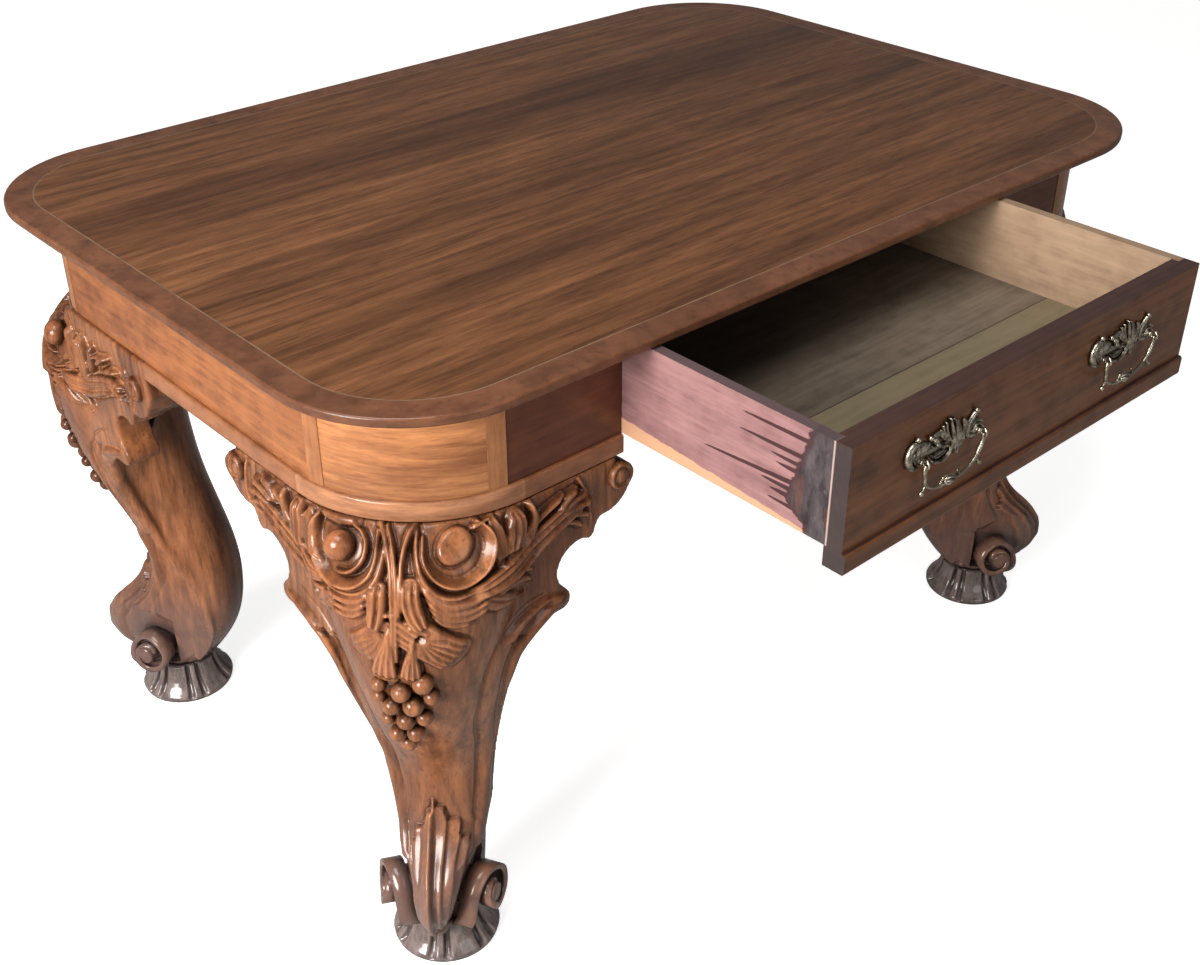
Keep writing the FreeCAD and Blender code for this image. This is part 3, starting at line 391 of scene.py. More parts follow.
def dripStains(w, place, colour):
    # stains of the drawer's left side: a pale lower strip, drips, and a smeared grey front end
    tint = sideStain
    _, along, up = w.parts(place)
    wobble = w.times(w.minus(w.noise(place, *tint["wobble"]), 0.5), tint["wobbleReach"])
    low = w.times(w.plus(along, tint["stripPivot"]), tint["stripFall"])
    level = w.plus(w.plus(up, low), w.times(wobble, 0.3))
    strip = w.span(level, *tint["stripEdge"], 1.0, 0.0)
    colour = w.blend(w.times(strip, tint["stripAmount"]), colour, tint["strip"])
    edge = w.plus(w.span(up, *tint["upperEdge"]), w.span(up, *tint["lowerEdge"]))
    past = w.minus(w.plus(along, wobble), edge)
    wet = w.span(past, *tint["wetEdge"])
    for height, length, half, fall in drips:
        share = w.span(past, 0.0, length, 1.0, 0.0)
        centre = w.minus(height, w.times(past, fall))
        off = w.maths("ABSOLUTE", w.minus(up, centre))
        thick = w.times(w.maths("POWER", share, tint["dripPoint"]), half)
        wet = w.most(wet, w.span(w.minus(off, thick), *tint["dripEdge"]))
    colour = w.blend(w.times(wet, tint["wetAmount"]), colour, tint["wet"])
    upright = w.vector("MULTIPLY", place, tint["smear"])[0]
    patch = w.span(w.noise(upright, *tint["patch"]), *tint["patchEdge"])
    grey = w.blend(patch, tint["grey"], tint["paleGrey"])
    grey = w.blend(w.span(w.noise(upright, *tint["spots"]), *tint["spotsEdge"]), grey, tint["rust"])
    colour = w.blend(w.span(past, *tint["greyEdge"]), colour, grey)
    rim = w.times(w.span(along, *tint["rimBack"]), w.span(along, *tint["rimFront"]))
    return w.blend(w.times(rim, tint["rimAmount"]), colour, tint["rim"])


# the drawer floor: a yellower newer board, painted shade towards the left rear, and a dark seam
boards = {"yellow": (0.240, 0.200, 0.105, 1), "leftRearShade": (0.040, 0.030, 0.022, 1),
          "seam": (0.03, 0.022, 0.015, 1), "yellowAmount": 0.55, "soft": 0.0006,
          "seamEdge": (0.0006, 0.0012, 0.8, 0.0), "leftRearShadeAcross": (-0.20, 0.12, 0.75, 0.0),
          "leftRearShadeAlong": (-0.52, -0.40, 0.6, 1.0)}


def boardJoint(w, place, colour, joint):
    # a newer, yellower board in front of the joint, and painted shade darkening the board behind it towards
    # the left rear
    across, along, _ = w.parts(place)
    ahead = w.span(along, joint - boards["soft"], joint + boards["soft"], 1.0, 0.0)
    leftRearShade = w.times(w.span(across, *boards["leftRearShadeAcross"]), w.span(along, *boards["leftRearShadeAlong"]))
    behind = w.blend(leftRearShade, colour, boards["leftRearShade"])
    newer = w.blend(boards["yellowAmount"], colour, boards["yellow"])
    colour = w.blend(ahead, behind, newer)
    seam = w.span(w.maths("ABSOLUTE", w.minus(along, joint)), *boards["seamEdge"])
    return w.blend(seam, colour, boards["seam"])


def woodMaterial(name, row):
    row = {**plainWood, **row}
    mat, w, shader = newMaterial(name)
    spot = w.put("ShaderNodeTexCoord").outputs["Object"]
    place = w.vector("ADD", spot, row["shift"])[0]
    figure = w.put("ShaderNodeGroup", {
        "Place": place, "Light": (*row["light"], 1), "Mid": (*row["mid"], 1), "Dark": (*row["dark"], 1),
        "Ring Pitch": row["pitch"], "Ring Sway": row["sway"], "Figure": row["figure"], "Cloud": row["cloud"],
        "Streak": row["streak"], "Pores": row["pores"], "Grain Run": row["run"],
    }, node_tree=grain).outputs
    masks = w.put("ShaderNodeGroup", {"Reach": row["reach"], "Place": place}, node_tree=shadeAndAge).outputs
    # painted shade: the hollows mask darkens the figure towards a near-black shade colour, as far as the
    # wood's hollow amount says
    hollowShadeColour = tuple(0.32 * value for value in row["dark"])
    colour = w.blend(w.times(masks["Hollow Shade"], row["hollowShade"]), figure["Color"], (*hollowShadeColour, 1))
    colour = w.blend(w.times(masks["Rub"], row["rub"]), colour, (*row["light"], 1))
    coat = 0.0
    if row["coat"]:
        coat = w.span(masks["Dust"], 0.0, 1.0, row["coat"], row["coat"] * 0.55)
    if row.get("drips"):
        colour = dripStains(w, spot, colour)
    if row.get("joint"):
        colour = boardJoint(w, spot, colour, row["joint"])
    if row.get("foot"):
        # handling and floor wax have greyed and polished the feet
        height = w.plus(w.parts(spot)[2], w.times(masks["Dust"], 0.04))
        greyed = w.span(height, 0.25, 0.13, 0.0, 0.62)
        colour = w.blend(greyed, colour, (*row["foot"], 1))
        coat = w.most(coat, w.times(greyed, row["footCoat"]))
    for way, tint, amount in row.get("faces", ()):
        # faces that look one way get a darker tint: top edges and ends, and painted shade on the inside face
        # of the drawer's left side
        normal = w.put("ShaderNodeNewGeometry").outputs["Normal"]
        facing = w.span(w.vector("DOT_PRODUCT", normal, way)["Value"], 0.75, 0.95)
        facingTint = w.blend(w.times(figure["Tone"], 0.5), (*tint, 1), (*row["dark"], 1))
        colour = w.blend(w.times(facing, amount), colour, facingTint)
    bump = w.put("ShaderNodeBump", {"Strength": row["bump"], "Distance": 0.0012, "Height": figure["Height"]})
    w.fill(shader, {
        "Base Color": colour, "Coat Weight": coat, "Coat Roughness": 0.12, "Specular IOR Level": row["gloss"],
        "Roughness": w.span(w.plus(figure["Tone"], masks["Dust"]), 0.0, 1.6, *row["rough"]),
        "Normal": bump.outputs[0],
    })
    return mat


brass = {"bare": (0.80, 0.72, 0.58, 1), "tarnish": (0.115, 0.098, 0.075, 1), "rough": (0.42, 0.18),
         "reach": 0.006, "patch": 160.0, "grit": 900.0}


def brassMaterial(name):
    # dark old brass, bright where hands rub it
    mat, w, shader = newMaterial(name)
    place = w.put("ShaderNodeTexCoord").outputs["Object"]
    masks = w.put("ShaderNodeGroup", {"Reach": brass["reach"], "Place": place}, node_tree=shadeAndAge).outputs
    patch = w.span(w.noise(place, brass["patch"], 4.0, 0.6), 0.35, 0.62)
    bright = w.most(masks["Rub"], w.times(patch, 0.7))
    bright = w.times(bright, w.span(masks["Hollow Shade"], 0.0, 1.0, 1.0, 0.05))
    bump = w.put("ShaderNodeBump", {"Strength": 0.2, "Distance": 0.0004,
                                    "Height": w.noise(place, brass["grit"], 3.0)})
    w.fill(shader, {
        "Metallic": 1.0, "Base Color": w.blend(bright, brass["tarnish"], brass["bare"]),
        "Roughness": w.span(bright, 0.0, 1.0, *brass["rough"]), "Normal": bump.outputs[0],
    })
    return mat


looks = {name: woodMaterial(name, row) for name, row in woods.items()}
looks["oldBrass"] = brassMaterial("oldBrass")
print("materials:", len(looks))


# mesh helpers: grids of points in millimetres, gathered into one piece

class Carving:
    # gathers points and faces; every form added is closed

    def __init__(self):
        self.points = []
        self.faces = []

    def add(self, points, faces):
        start = len(self.points)
        self.points.extend(tuple(point) for point in points)
        self.faces.extend(tuple(start + index for index in face) for face in faces)

    def loops(self, rings):
        # closed rings of equal length, joined along their run and capped at both ends
        count = len(rings[0])
        points = [point for ring in rings for point in ring]
        faces = []
        for row in range(len(rings) - 1):
            for col in range(count):
                a = row * count + col
                b = row * count + (col + 1) % count
                faces.append((a, b, b + count, a + count))
        for row, turn in ((0, -1), (len(rings) - 1, 1)):
            points.append(np.mean(rings[row], axis=0))
            hub = len(points) - 1
            for col in range(count):
                a = row * count + col
                b = row * count + (col + 1) % count
                faces.append((hub, a, b) if turn > 0 else (hub, b, a))
        self.add(points, faces)


def smoothRows(rows, count):
    # a smooth run through the rows, evenly spaced along its length
    rows = np.array(rows, dtype=float)
    if len(rows) == 2:
        share = np.linspace(0, 1, count)[:, None]
        return rows[0] * (1 - share) + rows[1] * share
    padded = np.vstack([2 * rows[0] - rows[1], rows, 2 * rows[-1] - rows[-2]])
    dense = []
    for index in range(1, len(padded) - 2):
        a, b, c, d = padded[index - 1:index + 3]
        for t in np.linspace(0, 1, 24, endpoint=False):
            dense.append(0.5 * (2 * b + (c - a) * t + (2 * a - 5 * b + 4 * c - d) * t * t
                                + (3 * b - a - 3 * c + d) * t ** 3))
    dense.append(rows[-1])
    dense = np.array(dense)
    gaps = np.linalg.norm(np.diff(dense[:, :3], axis=0), axis=1)
    along = np.concatenate([[0], np.cumsum(gaps)])
    want = np.linspace(0, along[-1], count)
    return np.array([np.interp(want, along, dense[:, col]) for col in range(dense.shape[1])]).T


def unit(vector):
    length = np.linalg.norm(vector, axis=-1, keepdims=True)
    return vector / np.maximum(length, 1e-9)


def turned(carving, centre, axis, outline, around=32):
    # a lathe form: outline rows are radius and height along the axis
    axis = unit(np.array(axis, dtype=float))
    side = unit(np.cross(axis, (0.1, 0.2, 1.0)))
    other = np.cross(axis, side)
    turns = np.linspace(0, 2 * math.pi, around, endpoint=False)
    rings = []
    for radius, high in outline:
        rings.append([np.array(centre) + axis * high + (side * math.cos(a) + other * math.sin(a)) * radius
                      for a in turns])
    carving.loops(rings)


def ball(carving, centre, axis, radius, height, rows=12, around=20):
    # a round or flattened ball
    turns = np.linspace(-0.5 * math.pi, 0.5 * math.pi, rows + 2)[1:-1]
    turned(carving, centre, axis, [(radius * math.cos(a), height * math.sin(a)) for a in turns], around)


def tube(carving, path, around=14):
    # a round bar along rows of three places and a radius
    spots = path[:, :3]
    run = unit(np.gradient(spots, axis=0))
    side = unit(np.cross(run, (1.0, 0.0, 0.0)))
    other = np.cross(run, side)
    turns = np.linspace(0, 2 * math.pi, around, endpoint=False)
    rings = []
    for spot, a, b, radius in zip(spots, side, other, path[:, 3]):
        rings.append([spot + (a * math.cos(turn) + b * math.sin(turn)) * radius for turn in turns])
    carving.loops(rings)


# legs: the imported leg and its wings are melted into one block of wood, then carved like a relief

# places where the melted block gets finer faces: lowest and highest sideways place, and the same upwards
legLook = {"voxel": 2.5 * mm, "smooth": 10,
           "finer": ((-999, 999, 442, 999), (-50, 30, 322, 999), (-46, 46, 62, 236))}
# the block's front beside the foot: how far out it may lie, by height
slim = {
    "front": ((50, 42), (60, 56), (70, 67), (85, 77), (100, 83), (120, 81), (150, 62), (200, 26)),
    "keel": ((50, 3), (65, 4), (80, 7), (110, 8), (200, 9)),
    "fall": ((60, 0.24), (85, 0.16), (100, 0.13), (125, 0.075), (150, 0.036), (200, 0.02)),
    "back": -9,
    "half": 44,
    "widen": (105, 0.2),
    "fade": (205, 2),
    "toe": (60, 5),
    "top": 250,
}
corners = {"front_left": (-1, -1), "front_right": (1, -1), "back_left": (-1, 1), "back_right": (1, 1)}


def legFrame(name):
    # pad centre, outward diagonal, sideways direction towards the long face, and whether it is mirrored
    signX, signY = corners[name]
    low, high = (np.array(corner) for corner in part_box("foot_" + name))
    centre = (low + high) / 2
    centre[2] = 0
    out = np.array([signX, signY, 0]) / math.sqrt(2)
    side = np.array([-signX, signY, 0]) / math.sqrt(2)
    return centre, out, side, signX * signY < 0


def toLeg(points, name):
    centre, out, side, _ = legFrame(name)
    shifted = np.array(points) - centre
    return np.stack([shifted @ out, shifted @ side, shifted[:, 2]], axis=1)


def fromLeg(points, name):
    # back to world axes, measured from the pad centre
    _, out, side, _ = legFrame(name)
    points = np.array(points)
    return points[:, :1] * out + points[:, 1:2] * side + points[:, 2:] * np.array([0, 0, 1.0])


def meshOf(nodeName):
    thing = nodes[nodeName]
    mesh = thing.data
    points = np.array([thing.matrix_world @ vertex.co for vertex in mesh.vertices])
    faces = [tuple(face.vertices) for face in mesh.polygons]
    return points, faces


# ribs down the edges of the leg, from the wing's hook to the heel: rows of out, sideways, up and radius,
# and the web between leg and rib: rows of height, front and half width. The web's corners lie so far out and
# sideways from the leg's front, from the rib's middle and, for the inmost one, from the leg's own middle
edge = {
    "rib": [(-33, 146, 468, 5), (-27, 139, 469, 7), (-18, 129, 464, 8.5), (-7, 116, 453, 9),
        (2, 104, 440, 9), (7, 94, 424, 9), (8, 86, 400, 9), (4, 79, 376, 8.5), (-3, 73, 346, 8),
        (-12, 68, 317, 7.5), (-24, 61, 272, 7), (-38, 57, 238, 6.5), (-52, 53, 205, 6), (-60, 50, 170, 6),
        (-61, 47, 130, 6), (-50, 44, 92, 6), (-34, 40, 66, 5)],
    "web": [(470, 40, 84), (455, 38, 82), (437, 36, 78), (418, 33, 73), (398, 29, 70), (375, 22, 66),
        (345, 12, 62), (320, 3, 58)],
    "fromLeg": (-4, -8),
    "fromRib": [(5, -6), (-8, -4), (-22, -13)],
    "heart": (-40, 40),
}


def edgeWeb(carving, path, sign):
    # wood between the leg and the rib under each wing
    rings = []
    for z, front, half in edge["web"]:
        s, w = (np.interp(-z, -path[:, 2], path[:, col]) for col in (0, 1))
        spots = [(front + edge["fromLeg"][0], min(half, w) + edge["fromLeg"][1])]
        spots += [(s + out, w + over) for out, over in edge["fromRib"]]
        rings.append([(out, sign * over, z) for out, over in spots + [edge["heart"]]])
    carving.loops(rings)


def slimFoot(fine):
    # hollows the block beside the foot's keel, where the scrolls stand
    def along(key, z):
        levels, values = np.array(slim[key], dtype=float).T
        return np.interp(z, levels, values)

    for vertex in fine.verts:
        s, w, z = vertex.co / mm
        if z > slim["top"]:
            continue
        half = slim["half"] + max(0, z - slim["widen"][0]) * slim["widen"][1]
        w = max(-half, min(half, w))
        limit = along("front", z) - along("fall", z) * max(0.0, abs(w) - along("keel", z)) ** 2
        limit = max(limit, slim["back"]) + max(0, z - slim["fade"][0]) * slim["fade"][1]
        limit += max(0, slim["toe"][0] - z) * slim["toe"][1]
        vertex.co = (min(s, limit) * mm, w * mm, z * mm)


def meltedLeg(name):
    # one skin round the leg, both wings and the ribs, in leg axes, with finer faces where it is carved
    parts = Carving()
    for nodeName in ("leg_" + name, "wing_" + name + "_face", "wing_" + name + "_side"):
        points, faces = meshOf(nodeName)
        parts.add(toLeg(points, name), faces)
    extra = Carving()
    for sign in (-1, 1):
        path = smoothRows(edge["rib"], 110)
        edgeWeb(extra, path, sign)
        path[:, 1] *= sign
        tube(extra, path)
    parts.add(np.array(extra.points) * mm, extra.faces)
    mesh = bpy.data.meshes.new("melt")
    mesh.from_pydata(parts.points, [], parts.faces)
    block = newObject("melt", mesh)
    melt = block.modifiers.new("melt", "REMESH")
    melt.mode = "VOXEL"
    melt.voxel_size = legLook["voxel"]
    soften = block.modifiers.new("soften", "SMOOTH")
    soften.factor = 0.5
    soften.iterations = legLook["smooth"]
    shown = block.evaluated_get(bpy.context.evaluated_depsgraph_get())
    fine = bmesh.new()
    fine.from_mesh(shown.to_mesh())
    shown.to_mesh_clear()
    chosen = set()
    for face in fine.faces:
        _, w, z = face.calc_center_median() / mm
        ornament = any(a < w < b and low < z < high for a, b, low, high in legLook["finer"])
        if face.normal.x > 0.1 and ornament:
            chosen.update(face.edges)
    bmesh.ops.subdivide_edges(fine, edges=list(chosen), cuts=1, use_grid_fill=True)
    fine.verts.ensure_lookup_table()
    slimFoot(fine)
    bmesh.ops.smooth_vert(fine, verts=fine.verts[:], factor=0.5, use_axis_x=True, use_axis_y=True,
                          use_axis_z=True)
    points = np.array([tuple(vertex.co) for vertex in fine.verts])
    faces = [tuple(vertex.index for vertex in face.verts) for face in fine.faces]
    fine.free()
    bpy.data.objects.remove(block)
    bpy.data.meshes.remove(mesh)
    return points, faces


def blurred(grid, rounds):
    for _ in range(rounds):
        for axis in (0, 1):
            near = np.concatenate([np.take(grid, [0], axis), grid, np.take(grid, [-1], axis)], axis)
            size = grid.shape[axis]
            grid = (np.take(near, range(size), axis) + 2 * grid + np.take(near, range(2, size + 2), axis)) / 4
    return grid


# the field seen on a leg's front, its steps, and how the marks are cut into it
field = {"w": (-218, 218), "z": (50, 632), "skinStep": 2.0, "carvingStep": 0.8, "start": 0.4, "calm": 5,
         "steepest": 1.5, "strokeStep": 0.7, "tip": 0.45, "undercut": 2.6, "undercutReach": 14,
         "frontDepth": 3.5}


class Grid:
    # values over the front of a leg, looking in along the diagonal, on even steps of w and z in millimetres

    def __init__(self, step):
        self.step = step
        self.w = np.arange(field["w"][0], field["w"][1] + step, step)
        self.z = np.arange(field["z"][0], field["z"][1] + step, step)

    def sample(self, values, w, z):
        col = np.clip((w - self.w[0]) / self.step, 0, len(self.w) - 1.001)
        row = np.clip((z - self.z[0]) / self.step, 0, len(self.z) - 1.001)
        c = col.astype(int)
        r = row.astype(int)
        x = col - c
        y = row - r
        upper = values[r, c] * (1 - x) + values[r, c + 1] * x
        lower = values[r + 1, c] * (1 - x) + values[r + 1, c + 1] * x
        return upper * (1 - y) + lower * y


class Skin(Grid):
    # how far out the melted leg's front lies, and the way that it faces

    def __init__(self, points, faces):
        super().__init__(field["skinStep"])
        tree = BVHTree.FromPolygons([tuple(point) for point in points], faces)
        depth = np.full((len(self.z), len(self.w)), np.nan)
        for row, z in enumerate(self.z):
            for col, w in enumerate(self.w):
                hit = tree.ray_cast(Vector((field["start"], w * mm, z * mm)), Vector((-1, 0, 0)))
                if hit[0] is not None:
                    depth[row, col] = hit[0].x / mm
        for row in range(len(self.z)):
            found = ~np.isnan(depth[row])
            if found.any():
                depth[row] = np.interp(self.w, self.w[found], depth[row][found])
            else:
                depth[row] = depth[row - 1] if row else 0.0
        self.depth = depth
        calm = blurred(depth, field["calm"])
        limit = field["steepest"]
        self.slopeW = np.clip(np.gradient(calm, self.step, axis=1), -limit, limit)
        self.slopeZ = np.clip(np.gradient(calm, self.step, axis=0), -limit, limit)

    def spot(self, w, z):
        w = np.atleast_1d(float(w))
        z = np.atleast_1d(float(z))
        return np.array([self.sample(self.depth, w, z)[0], w[0], z[0]])

    def facing(self, w, z):
        w = np.atleast_1d(w)
        z = np.atleast_1d(z)
        slopes = (-self.sample(slope, w, z) for slope in (self.slopeW, self.slopeZ))
        return unit(np.stack([np.ones(len(w)), *slopes], axis=1))


def crossCut(shape, u):
    # height over a stroke's width, where u runs from -1 at its right edge to 1 at its left
    dome = np.sqrt(np.clip(1 - u * u, 0, 1))
    if shape == "round":
        return dome ** 0.62
    if shape == "soft":
        return np.cos(u * math.pi / 2) ** 2
    if shape == "keel":
        return (1 - np.abs(u)) ** 0.8
    if shape == "tongue":
        return dome ** 0.5 * (0.62 + 0.38 * u * u)
    if shape == "crease":
        return dome ** 0.7 * (1 - 0.5 * np.exp(-((u - 0.12) / 0.16) ** 2))
    if shape in ("lipLeft", "lipRight"):
        v = u if shape == "lipLeft" else -u
        return np.where(v > 0.45, np.sqrt(np.clip(1 - ((v - 0.45) / 0.55) ** 2, 0, 1)),
                        np.clip((v + 1) / 1.45, 0, 1) ** 1.6)
    if shape.startswith("reeds"):
        count = int(shape[5:])
        return dome ** 0.6 * (0.62 + 0.38 * np.abs(np.sin(count * math.pi * (u + 1) / 2)) ** 0.7)
    return dome  # a rope is half round


class Relief(Grid):
    # carved heights, which later move the leg's own skin

    def __init__(self):
        super().__init__(field["carvingStep"])
        self.high = np.zeros((len(self.z), len(self.w)))

    def stroke(self, shape, height, halves, line):
        # a mark along a line of (w, z), whose half width follows the halves
        rough = np.array(line, dtype=float)
        length = np.linalg.norm(np.diff(rough, axis=0), axis=1).sum()
        count = int(np.clip(length / field["strokeStep"], 8, 170))
        path = smoothRows(line, count)
        share = np.linspace(0, 1, count)
        half = np.interp(share, np.linspace(0, 1, len(halves)), halves)
        tip = field["tip"]
        rise = np.clip(tip + share * 5, 0, 1) * np.clip(tip + (1 - share) * 5, 0, 1)
        reach = half.max()
        cols = slice(*np.searchsorted(self.w, (path[:, 0].min() - reach, path[:, 0].max() + reach)))
        rows = slice(*np.searchsorted(self.z, (path[:, 1].min() - reach, path[:, 1].max() + reach)))
        w, z = np.meshgrid(self.w[cols], self.z[rows])
        offW = w.ravel()[:, None] - path[:, 0]
        offZ = z.ravel()[:, None] - path[:, 1]
        far = offW ** 2 + offZ ** 2
        near = np.argmin(far / half ** 2, axis=1)
        pick = np.arange(len(near))
        run = unit(np.gradient(path, axis=0))[near]
        cross = run[:, 0] * offZ[pick, near] - run[:, 1] * offW[pick, near]
        along = run[:, 0] * offW[pick, near] + run[:, 1] * offZ[pick, near]
        before = np.where(near == 0, np.clip(-along, 0, None), 0)
        ends = np.where(near == count - 1, np.clip(along, 0, None), before)
        blunt = np.clip(half[near] / 5, 1, 2.6)
        u = np.sqrt(cross ** 2 + (ends * blunt) ** 2) / half[near] * np.where(cross < 0, -1, 1)
        value = np.where(np.abs(u) < 1, crossCut(shape, np.clip(u, -1, 1)) * height * rise[near], 0)
        value = value.reshape(w.shape)
        part = self.high[rows, cols]
        self.high[rows, cols] = np.maximum(part, value) if height > 0 else np.minimum(part, value)

    def disc(self, height, radius, w, z, squash):
        # a flat round button, or with a negative height a dish
        far = np.hypot((self.w[None, :] - w) / radius, (self.z[:, None] - z) / (radius * squash))
        value = height * np.clip(1 - far ** 8, 0, 1) ** 0.5
        better = np.maximum if height > 0 else np.minimum
        self.high = np.where(far < 1, better(self.high, value), self.high)

    def pleats(self, lines):
        # lines of (w, z, height) from the foot up: the height runs straight between neighbours
        lines = [np.array(line, dtype=float) for line in lines]
        for row, z in enumerate(self.z):
            live = [line for line in lines if line[0, 1] <= z <= line[-1, 1]]
            if len(live) < 2:
                continue
            places = [np.interp(z, line[:, 1], line[:, 0]) for line in live]
            ends = [min(1, (line[-1, 1] - z) / 5) ** 0.5 for line in live]
            heights = [np.interp(z, line[:, 1], line[:, 2]) * end for line, end in zip(live, ends)]
            inside = (self.w > places[0]) & (self.w < places[-1])
            self.high[row] = np.where(inside, np.interp(self.w, places, heights), self.high[row])

    def groove(self, depth, half, line):
        # cuts into whatever is there already
        kept = self.high
        self.high = np.zeros_like(kept)
        self.stroke("soft", -depth, (half * 0.6, half, half * 0.6), line)
        self.high = kept + self.high

    def settle(self):
        # lowers the ground round each raised form, and rounds off the steps of the grid
        raised = blurred((self.high > 1.0).astype(float), field["undercutReach"])
        lowered = self.high - field["undercut"] * np.clip(raised * 2.4, 0, 1)
        self.high = np.where(self.high < 0.3, lowered, self.high)
        self.high = blurred(self.high, 1)


